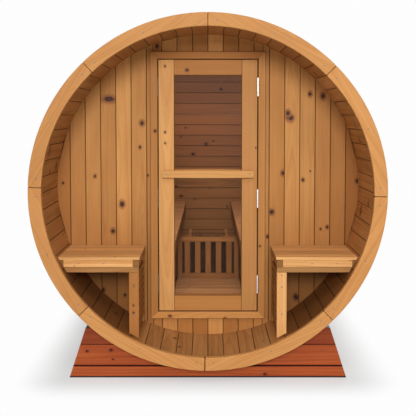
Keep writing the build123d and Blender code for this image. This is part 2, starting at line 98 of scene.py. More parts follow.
# ---- shaders ----------------------------------------------------------------------------------
class Value:
    """A shader value that takes part in Python sums, so that a formula adds its own nodes."""

    def __init__(self, shader: "Shader", socket: bpy.types.NodeSocket) -> None:
        """Wrap one output socket of a shader's tree."""
        self.shader, self.socket = shader, socket

    def math(self, operation: str, *others: "Value | float") -> "Value":
        """A Math node on the value and the others in order."""
        return self.shader.node("ShaderNodeMath", {"operation": operation}, dict(enumerate((self, *others))))

    def __rsub__(self, other: float) -> "Value":
        """Difference from a number."""
        operands = {0: other, 1: self}
        return self.shader.node("ShaderNodeMath", {"operation": "SUBTRACT"}, operands)

    __add__ = __radd__ = partialmethod(math, "ADD")
    __mul__ = __rmul__ = partialmethod(math, "MULTIPLY")
    __sub__ = partialmethod(math, "SUBTRACT")
    __truediv__ = partialmethod(math, "DIVIDE")
    least, most = partialmethod(math, "MINIMUM"), partialmethod(math, "MAXIMUM")
    size, root = partialmethod(math, "ABSOLUTE"), partialmethod(math, "SQRT")
    # what is left of the value past its whole number
    part = partialmethod(math, "FRACT")

    def rise(self, low: float, high: float) -> "Value":
        """A smooth step from 0 at low to 1 at high; with low over high it falls instead.

        Args:
            low: where it is 0.
            high: where it is 1.

        Returns:
            The step's value.
        """
        ends = {1: low, 2: high, 3: 0.0, 4: 1.0} if low < high else {1: high, 2: low, 3: 1.0, 4: 0.0}
        return self.shader.node("ShaderNodeMapRange", {"interpolation_type": "SMOOTHSTEP"}, {0: self, **ends})


class Shader:
    """The node tree of one material or world."""

    def __init__(self, owner: bpy.types.Material | bpy.types.World, output: str = "Material") -> None:
        """Clear the owner's tree down to its output.

        Args:
            owner: that the tree belongs to.
            output: the kind of its output node, Material or World.
        """
        owner.use_nodes = True
        self.tree = owner.node_tree
        self.tree.nodes.clear()
        self.out = self.tree.nodes.new(f"ShaderNodeOutput{output}")

    def node(self, kind: str, settings: dict, inputs: dict, output: int | str = 0) -> Value:
        """Add a node.

        Args:
            kind: the node's Blender type.
            settings: properties set before the sockets.
            inputs: a value, a colour or a link for each socket, by name or number.
            output: the output that is returned.

        Returns:
            The output as a Value.
        """
        made = self.tree.nodes.new(kind)
        for name, value in settings.items():
            setattr(made, name, value)
        for name, value in inputs.items():
            socket = made.inputs[name]
            if isinstance(value, Value):
                self.tree.links.new(value.socket, socket)
            else:
                socket.default_value = (*value, 1.0) if socket.type == "RGBA" else value
        return Value(self, made.outputs[output])

    def attribute(self, name: str) -> list[Value]:
        """The three parts of a vector attribute of the mesh."""
        return self.parts(self.node("ShaderNodeAttribute", {"attribute_name": name}, {}, "Vector"))

    def place(self) -> Value:
        """Object coordinates."""
        return self.node("ShaderNodeTexCoord", {}, {}, "Object")

    def parts(self, vector: Value) -> list[Value]:
        """The three parts of a vector."""
        split = self.node("ShaderNodeSeparateXYZ", {}, {0: vector}).socket.node
        return [Value(self, out) for out in split.outputs]

    def vector(self, x: Value | float, y: Value | float, z: Value | float) -> Value:
        """A vector from its three parts."""
        return self.node("ShaderNodeCombineXYZ", {}, {0: x, 1: y, 2: z})

    def noise(self, vector: Value, scale: float, detail: float = 2.0, rough: float = 0.5) -> Value:
        """Noise from 0 to 1 at a place."""
        inputs = {"Vector": vector, "Scale": scale, "Detail": detail, "Roughness": rough}
        return self.node("ShaderNodeTexNoise", {}, inputs)

    def wave(self, value: Value, scale: float, detail: float) -> Value:
        """Noise from 0 to 1 along one value."""
        inputs = {"W": value, "Scale": scale, "Detail": detail}
        return self.node("ShaderNodeTexNoise", {"noise_dimensions": "1D"}, inputs)

    def mix(self, factor: Value | float, first: Value | Colour, second: Value | Colour,
            blend: str = "MIX") -> Value:
        """A colour between two, at a factor from 0 to 1."""
        settings = {"data_type": "RGBA", "blend_type": blend}
        return self.node("ShaderNodeMix", settings, {0: factor, 6: first, 7: second}, 2)

    def shade(self, colour: Value, amount: Value) -> Value:
        """A colour made lighter or darker by an amount."""
        return self.mix(1.0, colour, self.vector(amount, amount, amount), "MULTIPLY")

    def bump(self, height: Value, depth: float) -> Value:
        """A normal from a height map of a given depth in metres."""
        return self.node("ShaderNodeBump", {}, {"Height": height, "Distance": depth, "Strength": 1.0})

    def blend(self, factor: Value, first: Value, second: Value) -> Value:
        """A mix of two shaders."""
        return self.node("ShaderNodeMixShader", {}, {0: factor, 1: first, 2: second})

    def principled(self, **inputs: "Value | float | Colour") -> Value:
        """A Principled surface, its sockets named with _ for each space."""
        names = {name.replace("_", " "): value for name, value in inputs.items()}
        return self.node("ShaderNodeBsdfPrincipled", {}, names)

    def glow(self, kind: str, grey: float, strength: float) -> Value:
        """An even light of one kind, Background or Emission."""
        return self.node(f"ShaderNode{kind}", {}, {"Color": (grey,) * 3, "Strength": strength})

    def finish(self, surface: Value) -> None:
        """Join the surface to the output."""
        self.tree.links.new(surface.socket, self.out.inputs["Surface"])


@dataclass(frozen=True)
class Finish:
    """What every finish has: its name and the slot that it answers to."""

    name: str
    slot: Slot

    @cache
    def material(self) -> bpy.types.Material:
        """Build the finish's material, the first time it is asked for.

        Returns:
            The material.
        """
        made = bpy.data.materials.new(self.name)
        shader = Shader(made)
        shader.finish(self.surface(shader))
        return made

    def dress(self, node: str) -> None:
        """Give a CAD node this finish."""
        materials = frame["nodes"][node].data.materials
        materials.clear()
        materials.append(self.material())


@dataclass(frozen=True)
class WoodFinish(Finish):
    """Oiled or stained softwood, ring by ring.

    Growth rings lie round a pith beside the board.  A ring's radius is the distance to the pith,
    bent by slow noise along the grain and pushed aside by each knot as water is by a post.
    """

    early: Colour
    late: Colour
    red: Colour
    knot: Colour = (0.05, 0.02, 0.012)
    halo: Colour = (0.30, 0.11, 0.034)
    ring: float = 4.2 * MM
    roughness: float = 0.55
    streaks: float = 1.0
    weathered: float = 0.0
    worn_from: Pair = (12 * MM, 18 * MM)

    def surface(self, sh: Shader) -> Value:
        """The wood, from the attributes of a Joinery mesh.

        Args:
            sh: the material's tree.

        Returns:
            The surface.
        """
        along, across, through = sh.attribute("grain")
        half_along, half_across, _ = sh.attribute("half")
        seed, tone, warmth = sh.attribute("board")
        pith_across, pith_through, slope = sh.attribute("pith")
        joint, end_grain, mottle = sh.attribute("edges")
        shift = seed * 37.0
        edge_across = across

        ragged = sh.noise(sh.vector(along * 2.0 + shift, across * 2.0, through * 2.0), 60.0)
        cores, halos = [], []
        for number in range(KNOTS_PER_TIMBER):
            knot_along, knot_across, radius = sh.attribute(f"knot_{number}")
            reach = radius.size().most(0.1 * MM)
            # a spike knot, with its radius below 0, lies long across the board
            spike = radius.math("LESS_THAN", 0.0)
            ahead = along - knot_along
            beside = (across - knot_across) * (1.0 - spike * 0.6)
            ahead_2, beside_2 = ahead * ahead, beside * beside
            # the stream line of a flow round a cylinder
            across = across - beside * (reach * reach * 1.6 / (ahead_2 * 0.30 + beside_2 + 1e-8)).least(1.0)
            near = (ahead_2 * 0.75 + beside_2).root() / reach + (ragged - 0.5) * 0.9
            far = (ahead_2 * 0.60 + beside_2).root() / reach + (ragged - 0.5) * 1.4
            cores.append(near.rise(1.1, 0.6) * (1.0 - near.rise(0.5, 0.1) * 0.25))
            halos.append(far.rise(2.4, 0.8))
        core, halo = (first.most(second).most(third) for first, second, third in (cores, halos))

        slow = sh.noise(sh.vector(along * 0.9 + shift, across * 5.0, through * 5.0), 1.6)
        off_across, off_through = across - pith_across, through - pith_through
        radius = (off_across * off_across + off_through * off_through).root()
        radius = radius + along * slope + (slow - 0.5) * (26.0 * MM)
        bands = sh.wave(radius + shift, 95.0, 2.5)
        rings = (radius / self.ring).part()
        latewood = rings.rise(0.35, 0.85) * rings.rise(1.0, 0.88)
        fibre = sh.noise(sh.vector(along * 7.0 + shift, across * 260.0, through * 260.0), 1.0)
        cloud = sh.noise(sh.vector(along * 1.2 + shift, across * 6.0, through * 6.0), 2.2)

        depth = bands.rise(0.36, 0.70) * (0.40 * self.streaks) + latewood * 0.20 + (fibre - 0.5) * 0.35
        colour = sh.mix(depth + (cloud - 0.5) * mottle + 0.10, self.early, self.late)
        colour = sh.mix(warmth, colour, self.red)
        colour = sh.mix(halo * 0.78, colour, self.halo)
        colour = sh.mix(core, colour, self.knot)

        side = (half_across - edge_across.size()).rise(4.2 * MM, 0.4 * MM) * joint
        end = (half_along - along.size()).rise(1.6 * MM, 0.3 * MM) * end_grain
        worn = through.rise(*self.worn_from) * self.weathered
        # tone and warmth hold each timber's own tone and also the painted shade that a Joinery's shade puts
        # in
        return sh.principled(
            Base_Color=sh.shade(colour, tone * (1.0 - side) * (1.0 - end)),
            Roughness=(fibre - 0.5) * 0.14 + self.roughness - core * 0.12 + worn,
            Normal=sh.bump(fibre * 0.5 + latewood * 0.5 - core * 0.8, 0.35 * MM),
            Specular_IOR_Level=0.14,
        )


@dataclass(frozen=True)
class SteelFinish(Finish):
    """Brushed or dulled steel: noise drawn out along one axis, with a faint grime."""

    bright: Colour
    dull: Colour
    roughness: float = 0.5
    metallic: float = 1.0
    brush: tuple[float, float, float] = (40.0, 40.0, 900.0)

    def surface(self, sh: Shader) -> Value:
        """Build the steel.

        Args:
            sh: the material's tree.

        Returns:
            The surface.
        """
        place = sh.place()
        brushed = sh.noise(sh.vector(*(part * fine for part, fine in zip(sh.parts(place), self.brush))), 1.0)
        grime_and_shade = sh.noise(place, 24.0, 4.0)
        return sh.principled(
            Base_Color=sh.mix(grime_and_shade.rise(0.35, 0.75) * 0.7 + brushed * 0.3, self.bright, self.dull),
            Metallic=self.metallic,
            Roughness=grime_and_shade * 0.2 + brushed * 0.12 + (self.roughness - 0.16),
            Normal=sh.bump(brushed, 0.05 * MM),
        )


@dataclass(frozen=True)
class StoneFinish(Finish):
    """Dark heater stones: speckled, rough, pale in their hollows."""

    dark: Colour
    pale: Colour

    def surface(self, sh: Shader) -> Value:
        """Build the stone.

        Args:
            sh: the material's tree.

        Returns:
            The surface.
        """
        place = sh.place()
        speckle, lumps = sh.noise(place, 260.0, 3.0, 0.7), sh.noise(place, 55.0, 4.0)
        return sh.principled(
            Base_Color=sh.mix(speckle.rise(0.45, 0.8) * 0.6 + lumps * 0.4, self.dark, self.pale),
            Roughness=speckle * 0.2 + 0.75,
            Normal=sh.bump(lumps + speckle * 0.2, 3.0 * MM),
        )


@dataclass(frozen=True)
class GlassFinish(Finish):
    """Lightly bronzed glass: clear with a gloss, and a painted reflection, a grey sheet that thickens upwards
    and to the right.
    """

    tint: Colour
    painted_reflection: Colour
    strongest_reflection: float
    pane: str

    def surface(self, sh: Shader) -> Value:
        """Build the pane.

        Args:
            sh: the material's tree.

        Returns:
            The surface.
        """
        (left, right), _, (bottom, top) = spans(self.pane).tolist()
        place = sh.place()
        x, _, z = sh.parts(place)
        # painted reflection of a grey studio: a diffuse grey sheet, thicker upwards and to the right
        rise = (z - bottom) / (top - bottom) + (x - left) / (right - left) * 0.35
        painted_reflection = rise.rise(0.55, 1.35) * self.strongest_reflection * (sh.noise(place, 5.0, 3.0) * 0.5 + 0.75)
        clear = sh.node("ShaderNodeBsdfTransparent", {}, {"Color": self.tint})
        reflection_sheet = sh.node("ShaderNodeBsdfDiffuse", {}, {"Color": self.painted_reflection})
        gloss = sh.node("ShaderNodeBsdfGlossy", {}, {"Color": WHITE, "Roughness": 0.03})
        fresnel = sh.node("ShaderNodeFresnel", {}, {"IOR": 1.45})
        return sh.blend(fresnel * 0.15, sh.blend(painted_reflection, clear, reflection_sheet), gloss)


# porch timbers
CEDAR = WoodFinish("oiled_cedar", Slot.WOOD, (0.60, 0.288, 0.088), (0.40, 0.155, 0.040), (0.52, 0.195, 0.046),
                   (0.040, 0.014, 0.010), (0.20, 0.062, 0.024), streaks=0.6)
LEAF = WoodFinish("leaf_cedar", Slot.WOOD, (0.64, 0.335, 0.115), (0.43, 0.18, 0.052), (0.52, 0.20, 0.050),
                  streaks=0.7)
RING = WoodFinish("ring_cedar", Slot.WOOD, (0.60, 0.285, 0.092), (0.43, 0.165, 0.042), (0.45, 0.17, 0.05),
                  (0.07, 0.03, 0.018), (0.33, 0.12, 0.035), ring=7 * MM, streaks=0.9)
STAVE = WoodFinish("stave_cedar", Slot.WOOD, (0.50, 0.245, 0.085), (0.32, 0.13, 0.036), (0.40, 0.14, 0.034),
                   (0.035, 0.012, 0.008), (0.20, 0.07, 0.022), streaks=1.3, weathered=0.42)
BENCH = WoodFinish("bench_cedar", Slot.WOOD, (0.66, 0.36, 0.135), (0.46, 0.20, 0.062), (0.46, 0.165, 0.035),
                   streaks=1.5)
# cabin timbers
CABIN = WoodFinish("cabin_cedar", Slot.CABIN, (0.54, 0.250, 0.083), (0.34, 0.135, 0.041), (0.30, 0.11, 0.04),
                   (0.04, 0.018, 0.012), (0.20, 0.075, 0.028))
FLOOR = WoodFinish("duckboard_cedar", Slot.CABIN, (0.50, 0.275, 0.125), (0.30, 0.145, 0.058),
                   (0.40, 0.16, 0.05), (0.04, 0.018, 0.012), (0.20, 0.075, 0.028), streaks=1.3)
# cradles
STAINED = WoodFinish("red_stain", Slot.STAINED, (0.47, 0.105, 0.026), (0.20, 0.030, 0.010),
                     (0.20, 0.026, 0.011), (0.03, 0.012, 0.01), (0.13, 0.018, 0.009), ring=14 * MM,
                     roughness=0.42, streaks=0.9)
# ironmongery, heater and pane
ZINC = SteelFinish("zinc_hinge", Slot.HINGE, (0.95, 0.95, 0.95), (0.74, 0.75, 0.76), 0.34)
PLATE = SteelFinish("closing_plate", Slot.HINGE, (0.34, 0.35, 0.33), (0.22, 0.23, 0.21))
BAND = SteelFinish("steel_band", Slot.BAND, (0.42, 0.42, 0.43), (0.27, 0.27, 0.28), 0.48,
                   brush=(900.0, 40.0, 900.0))
SCREW = SteelFinish("screw_steel", Slot.BAND, (0.20, 0.21, 0.22), (0.12, 0.12, 0.12))
# its dark colour and close pitch partly stand in for the shade behind the guard
MESH = SteelFinish("guard_mesh", Slot.HEATER, (0.085, 0.040, 0.020), (0.04, 0.018, 0.010), 0.6, 0.8)
ENAMEL = SteelFinish("heater_enamel", Slot.HEATER, (0.050, 0.030, 0.020), (0.025, 0.016, 0.011), 0.6, 0.3)
STONE = StoneFinish("heater_stone", Slot.HEATER, (0.035, 0.033, 0.032), (0.10, 0.095, 0.09))
# its grey sheet is a painted reflection
GLASS = GlassFinish("bronzed_glass", Slot.GLASS, (0.92, 0.89, 0.85), (0.30, 0.30, 0.32), 0.03, "door_glass")


# ---- meshes -----------------------------------------------------------------------------------
def spans(node: str) -> Array:
    """The x, y and z that a CAD node runs between, each as a low and a high."""
    return np.array([tuple(corner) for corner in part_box(node)], float).T


def eased(half_across: float, half_through: float, radius: float, steps: int = 2) -> Array:
    """Outline of a bar's section, with each arris rounded by a quarter circle.

    Args:
        half_across: half its width.
        half_through: half its thickness.
        radius: of the arris.
        steps: edges in each quarter.

    Returns:
        Points (across, through), anticlockwise.
    """
    quarter = np.linspace(0.0, math.pi / 2, steps + 1)
    angle = (quarter + np.arange(4)[:, None] * math.pi / 2).ravel()
    sides = np.repeat([(1, 1), (-1, 1), (-1, -1), (1, -1)], steps + 1, axis=0)
    centres = sides * [half_across - radius, half_through - radius]
    return centres + radius * np.column_stack([np.cos(angle), np.sin(angle)])


def flat_axes(axis: int, side: int) -> Array:
    """Rows along, across and through of a board in the wall's plane.

    Args:
        axis: of its grain: 0 for level, 2 for upright.
        side: the way that it faces across, -1 or 1.

    Returns:
        The three unit rows.
    """
    return np.eye(3)[[axis, 2 - axis, 1]] * np.array([[1], [side], [1]])


def in_plane(y: float, *rows: tuple[float, float, float]) -> Knots:
    """Knots at one y, from each one's x, z and radius."""
    return tuple((x, y, z, radius) for x, z, radius in rows)


@dataclass
class Skins:
    """Closed skins gathered into one piece, with the attributes that its finish reads."""

    verts: list[Array] = field(default_factory=list, init=False)
    faces: list[list[int]] = field(default_factory=list, init=False)
    marks: dict[str, list[Array]] = field(default_factory=dict, init=False)

    def close(self, verts: Array, faces: list[list[int]]) -> None:
        """Add a closed skin, turned so that its normals point outwards.

        The sum of its triangles' triple products is six times the volume inside; its sign shows
        which way the faces lie.

        Args:
            verts: world points.
            faces: their numbers, all the same way round.
        """
        fans = np.array([(face[0], face[k], face[k + 1]) for face in faces for k in range(1, len(face) - 1)])
        a, b, c = (verts[fans[:, k]] - verts[0] for k in range(3))
        way = -1 if np.einsum("ij,ij->", a, np.cross(b, c)) < 0 else 1
        start = sum(map(len, self.verts))
        self.faces += [[number + start for number in face[::way]] for face in faces]
        self.verts.append(verts)

    def sweep(self, grid: Array) -> None:
        """Close a stack of outlines.

        Args:
            grid: world points, outlines by points by 3, each outline closed.
        """
        rings, points, _ = grid.shape
        last = (rings - 1) * points
        ends = [list(range(points))[::-1], list(range(last, last + points))]
        self.close(grid.reshape(-1, 3), self.quads(rings, points).tolist() + ends)

    @staticmethod
    def quads(rings: int, points: int) -> Array:
        """The faces between neighbours in a stack of closed outlines."""
        ring, point = np.meshgrid(np.arange(rings - 1), np.arange(points), indexing="ij")
        here, beyond = ring * points + point, ring * points + (point + 1) % points
        return np.stack([here, beyond, beyond + points, here + points], axis=-1).reshape(-1, 4)

    def build(self, name: str, finish: Finish, *nodes: str, body: str = "sauna") -> None:
        """Make the piece and attach it to its body.

        Args:
            name: of the piece.
            finish: that it wears.
            nodes: the CAD nodes that it stands for.
            body: that it rides on.
        """
        mesh = bpy.data.meshes.new(name)
        mesh.from_pydata(np.concatenate(self.verts), [], self.faces)
        for mark, rows in self.marks.items():
            layer = mesh.attributes.new(mark, "FLOAT_VECTOR", "POINT")
            layer.data.foreach_set("vector", np.concatenate(rows).astype(np.float32).ravel())
        mesh.polygons.foreach_set("use_smooth", np.ones(len(mesh.polygons), bool))
        mesh.set_sharp_from_angle(angle=math.radians(20))
        mesh.materials.append(finish.material())
        piece = bpy.data.objects.new(name, mesh)
        bpy.context.scene.collection.objects.link(piece)
        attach(piece, body)
        if nodes:
            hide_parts(*nodes)
        log.info("%s: %d faces on %s", name, len(mesh.polygons), body)


@dataclass(frozen=True)
class Grain:
    """How one timber lies and looks: middle, three directions, half its size and its shades.

    The shades are its tone beside its finish, its redness, and how dark its long edges and its
    ends are, from 0 to 1; mottle is how cloudy its face is.
    """

    middle: Array
    axes: Array
    half: Sequence[float]
    tone: float = 1.0
    warmth: float = 0.0
    joint: float = 0.10
    end: float = 0.30
    mottle: float = 0.45


@dataclass
class Joinery(Skins):
    """Timbers gathered into one piece, each with its own grain, tone and knots.

    Chosen knots are x, y, z and radius.  Chance knots come at knotty for each metre, up to the
    largest radius; tones stray from 1 by the spread; shade is a further tone for world points that
    paints shade, and what it darkens it reddens as painted shade.  A timber's pith lies beside and
    behind it, and slopes along it.
    """

    seed: int
    knots: Knots = ()
    knotty: float = 0.6
    spread: float = 0.07
    largest_knot: float = 9 * MM
    shade: Callable[[Array], Array] | None = None
    far: float = 50.0
    red_stray: float = 0.15
    shade_red: float = 1.6
    pith_beside: float = 0.07
    pith_behind: Pair = (-0.02, -0.11)
    pith_slope: float = 0.02

    def __post_init__(self) -> None:
        """Start the piece's chances."""
        self.chance = np.random.default_rng(self.seed)

    def knots_in(self, grain: Grain) -> Array:
        """Find a timber's knots.

        Args:
            grain: how the timber lies.

        Returns:
            Rows (along, across, radius): the chosen knots inside it or else chance ones, and
            then rows with no radius, far off.
        """
        knots = np.array(self.knots, float).reshape(-1, 4)
        local = (knots[:, :3] - grain.middle) @ grain.axes.T
        inside = np.all(np.abs(local) <= grain.half + np.array([0.0, 4.0, 30.0]) * MM, axis=1)
        chosen = np.column_stack([local[inside, :2], knots[inside, 3]])[:KNOTS_PER_TIMBER]
        wanted = self.chance.poisson(self.knotty * 2 * grain.half[0])
        draw = self.chance.random((KNOTS_PER_TIMBER, 3))
        loose = np.column_stack([
            (draw[:, 0] * 2 - 1) * grain.half[0] * 0.95,
            (draw[:, 1] * 2 - 1) * grain.half[1] * 0.8,
            2 * MM + draw[:, 2] ** 2 * (self.largest_knot - 2 * MM),
        ])[: 0 if len(chosen) else wanted]
        none = [(self.far, self.far, 0.0)] * KNOTS_PER_TIMBER
        return np.concatenate([chosen, loose, none])[:KNOTS_PER_TIMBER]

    def add(self, grid: Array, grain: Grain) -> None:
        """Add one timber.

        Args:
            grid: world points, outlines by points by 3, each outline closed.
            grain: how the timber lies.
        """
        self.sweep(grid)
        verts = self.verts[-1]
        seed, stray, warm, side, behind, slope = self.chance.random(6)
        tone = grain.tone * (1.0 + (stray * 2 - 1) * self.spread)
        rows = {
            "board": [seed, tone, grain.warmth + warm * warm * self.red_stray],
            "edges": [grain.joint, grain.end, grain.mottle],
            "half": grain.half,
            "pith": [(side * 2 - 1) * self.pith_beside, np.dot((1.0, behind), self.pith_behind),
                     (slope * 2 - 1) * self.pith_slope],
        }
        rows |= {f"knot_{number}": row for number, row in enumerate(self.knots_in(grain))}
        rows = {name: np.tile(row, (len(verts), 1)) for name, row in rows.items()}
        rows["grain"] = (verts - grain.middle) @ grain.axes.T
        # painted shade: the shade tone darkens the timber and reddens it
        if self.shade is not None:
            shade = self.shade(verts)
            rows["board"][:, 1] *= shade
            rows["board"][:, 2] = np.maximum(rows["board"][:, 2], (1.0 - shade) * self.shade_red)
        for name, row in rows.items():
            self.marks.setdefault(name, []).append(row)

    def carry(self, section: Array, grain: Grain, reach: tuple[Array, Array] | None = None,
              ease: float = 1.5 * MM, stations: Sequence[float] = ()) -> None:
        """Carry a section along a timber and ease its end arrises.

        Args:
            section: outline as (across, through) from the timber's middle.
            grain: how the timber lies.
            reach: the along coordinate of both ends, one for each point of the outline where an
                end is scribed or mitred; both ends are square where it is None.
            ease: by which the outline draws in at each end.
            stations: further places along it that get an outline.
        """
        reach = (-grain.half[0], grain.half[0]) if reach is None else reach
        start, stop = (np.broadcast_to(end, len(section)) for end in reach)
        between = [np.full(len(section), place) for place in stations
                   if start.max() + ease < place < stop.min() - ease]
        along = np.array([start, start + ease, *between, stop - ease, stop])
        outlines = np.tile(section, (len(along), 1, 1))
        outlines[[0, -1]] -= np.sign(section) * np.minimum(ease, np.abs(section))
        self.add(grain.middle + np.dstack([along, outlines]) @ grain.axes, grain)

    def bar(self, x: Pair, y: Pair, z: Pair, along: Along, tone: float = 1.0, warmth: float = 0.0,
            ease: float = 2 * MM, joint: float = 0.10,
            scribe: Callable[[Array], tuple[Array, Array]] | None = None) -> None:
        """Add a rectangular timber.

        Args:
            x: the two x that it lies between.
            y: the two y.
            z: the two z.
            along: the direction of its grain.
            tone: how light it is beside its finish.
            warmth: how red it is, from 0 to 1.
            ease: radius of its arrises.
            joint: how dark its long arrises are.
            scribe: gives both ends' world coordinate along it from the outline's world points.
        """
        box, axes = np.array([x, y, z], float), along.axes()
        middle, half = box.mean(axis=1), np.abs(np.ptp(box, axis=1) / 2 @ axes.T)
        section = eased(half[1], half[2], min(ease, 0.45 * half[1], 0.45 * half[2]))
        reach = None
        if scribe is not None:
            world = middle + section @ axes[1:]
            reach = tuple(end - middle @ axes[0] for end in scribe(world))
        self.carry(section, Grain(middle, axes, half, tone, warmth, joint), reach, ease)

    def rail(self, outline: Sequence[Pair], y: Pair, half: Pair, tone: float, warmth: float = 0.0) -> None:
        """Add a sharp-edged timber along the barrel.

        Args:
            outline: corners as (x, z).
            y: the two y that it lies between.
            half: half its size across and through.
            tone: how light it is beside its finish.
            warmth: how red it is.
        """
        grid = np.array([[(x, depth, z) for x, z in outline] for depth in y])
        middle = grid.reshape(-1, 3).mean(axis=0)
        self.add(grid, Grain(middle, Along.Y_EDGE.axes(), (np.ptp(y) / 2, *half), tone, warmth))


@dataclass
class Turned(Skins):
    """Round ironmongery and plates gathered into one piece."""

    def poled(self, body: Array, poles: Array) -> None:
        """Add a round skin that closes in a point at each end.

        Args:
            body: world points, rings by sides by 3.
            poles: the first and the last point.
        """
        rings, sides, _ = body.shape
        around, last, pole = np.arange(sides), (rings - 1) * sides, rings * sides
        beside = (around + 1) % sides
        first_fan = np.column_stack([np.full(sides, pole), around, beside])
        last_fan = np.column_stack([np.full(sides, pole + 1), beside + last, around + last])
        faces = self.quads(rings, sides)[:, ::-1].tolist() + first_fan.tolist() + last_fan.tolist()
        self.close(np.concatenate([body.reshape(-1, 3), poles]), faces)

    def turn(self, profile: Sequence[Pair], centre: Sequence[float], axis: int, way: int = 1,
             sides: int = 12) -> None:
        """Turn a profile about a line along x, y or z.

        A point at height h and radius r goes to centre + h w + r (u cos a + v sin a), where w is
        the line's direction and u and v are square to it.

        Args:
            profile: (radius, height) from one end to the other; the first and last radius are 0.
            centre: where height is 0.
            axis: 0, 1 or 2 for a line along x, y or z.
            way: 1 where height runs up the axis, else -1.
            sides: of the round.
        """
        w = np.eye(3)[axis] * way
        u = np.cross(w, np.eye(3)[0 if axis else 2])
        angle = np.arange(sides) / sides * 2 * math.pi
        ring = np.outer(np.cos(angle), u) + np.outer(np.sin(angle), np.cross(w, u))
        radius, height = np.array(profile, float).T[..., None]
        body = radius[1:-1, None] * ring + (height * w)[1:-1, None]
        self.poled(body + np.array(centre, float), (height * w)[[0, -1]] + np.array(centre, float))

    def rod(self, centre: Sequence[float], axis: int, radius: float, run: Pair, sides: int) -> None:
        """Turn a plain rod; run is the two heights that it lies between."""
        profile = [(0, run[0]), (radius, run[0]), (radius, run[1]), (0, run[1])]
        self.turn(profile, centre, axis, sides=sides)

    def screw(self, centre: Sequence[float], way: int = -1, radius: float = 4 * MM) -> None:
        """A countersunk screw along y, facing a way, whose head lies just under the surface."""
        profile = [(0, 0.0), (0.22, -0.02), (0.3, 0.16), (0.75, 0.2), (1, 0.12), (1, -0.1),
                   (0.45, -0.8), (0, -0.85)]
        self.turn([(across * radius, up * radius) for across, up in profile], centre, 1, way)

    def plate(self, x: Pair, y: Pair, z: Pair) -> None:
        """A thin upright plate with clipped edges, between two x, y and z."""
        (across, through, _), middle = (np.ptp([x, y, z], axis=1) / 2), np.mean([x, y, z], axis=1)
        section = eased(through, across, 0.3 * min(across, through), 1)[:, ::-1] + middle[:2]
        self.sweep(np.array([np.column_stack([section, np.full(len(section), height)]) for height in z]))


# ---- the barrel -------------------------------------------------------------------------------
def half_chord(radius: float, offset: Array | float) -> Array | float:
    """Half the width of a round at a distance from its middle; 0 outside it."""
    return np.sqrt(np.maximum(radius**2 - np.square(offset), 0.0))


def round_axes(angle: float) -> Array:
    """Rows round, out of and along the barrel, at an angle from its top."""
    c, s = math.cos(angle), math.sin(angle)
    return np.array([[c, 0.0, -s], [s, 0.0, c], [0.0, 1.0, 0.0]])


@dataclass(frozen=True)
class Barrel:
    """Sizes that the rest is fitted to: fit_r is the radius that timbers are scribed to."""

    front: float
    ring_r: float
    axis_z: float
    inner_r: float = 0.925
    fit_r: float = 0.9247

    @classmethod
    def measured(cls) -> "Barrel":
        """Read the front ring's box."""
        x, y, z = spans("front_ring")
        return cls(y[0], np.ptp(x) / 2, z.mean())

    def spot(self, radius: Array | float, angle: Array | float, y: Array | float) -> Array:
        """World points at a radius r, an angle a from the top and a y: x = r sin a, z = r cos a."""
        radius, angle, y = np.broadcast_arrays(radius, angle, y)
        return np.stack([radius * np.sin(angle), y, self.axis_z + radius * np.cos(angle)], axis=-1)

    def floor(self, x: Array | float) -> Array | float:
        """The staves' z under an x."""
        return self.axis_z - half_chord(self.fit_r, x)


barrel = Barrel.measured()


@dataclass(frozen=True)
class BenchShade:
    """Painted shade under the porch benches, and on the wall boards above their seats."""

    # tone is the painted shade under the seats; the last field is the painted shade on the wall above them
    tone: float = 0.47
    level: float = -0.40
    seat: float = -0.36
    grime_and_shade: float = 0.17

    @property
    def stations(self) -> tuple[float, ...]:
        """Heights over the barrel's axis at which a wall board's tone turns."""
        return self.level, self.level + 4 * MM, self.seat, 0.0

    def __call__(self, points: Array) -> Array:
        """Find the tone at places on the porch.

        It is low beside the benches' posts, on the inner faces, as painted shade under the seats; the
        wall's boards darken from the barrel's axis down to the seat, as painted shade; and it is 1
        elsewhere.

        Args:
            points: world points.

        Returns:
            A tone for each.
        """
        bench, wall = spans("porch_bench_right_skirt")[0, 0], spans("front_wall_right")[1, 0]
        x, y, height = points[:, 0], points[:, 1], points[:, 2] - barrel.axis_z
        inside = (np.hypot(x, height) < barrel.inner_r + 10.5 * MM) & (y < wall + 1 * MM)
        under = (height < self.level + 1 * MM) & (np.abs(x) > bench)
        # painted shade: darker under the benches and on the wall towards the seat
        painted_seat_shade = np.clip(height / self.seat, 0.0, 1.0) * self.grime_and_shade * (y > wall - 1 * MM)
        return np.where(under & inside, self.tone, 1.0 - painted_seat_shade)


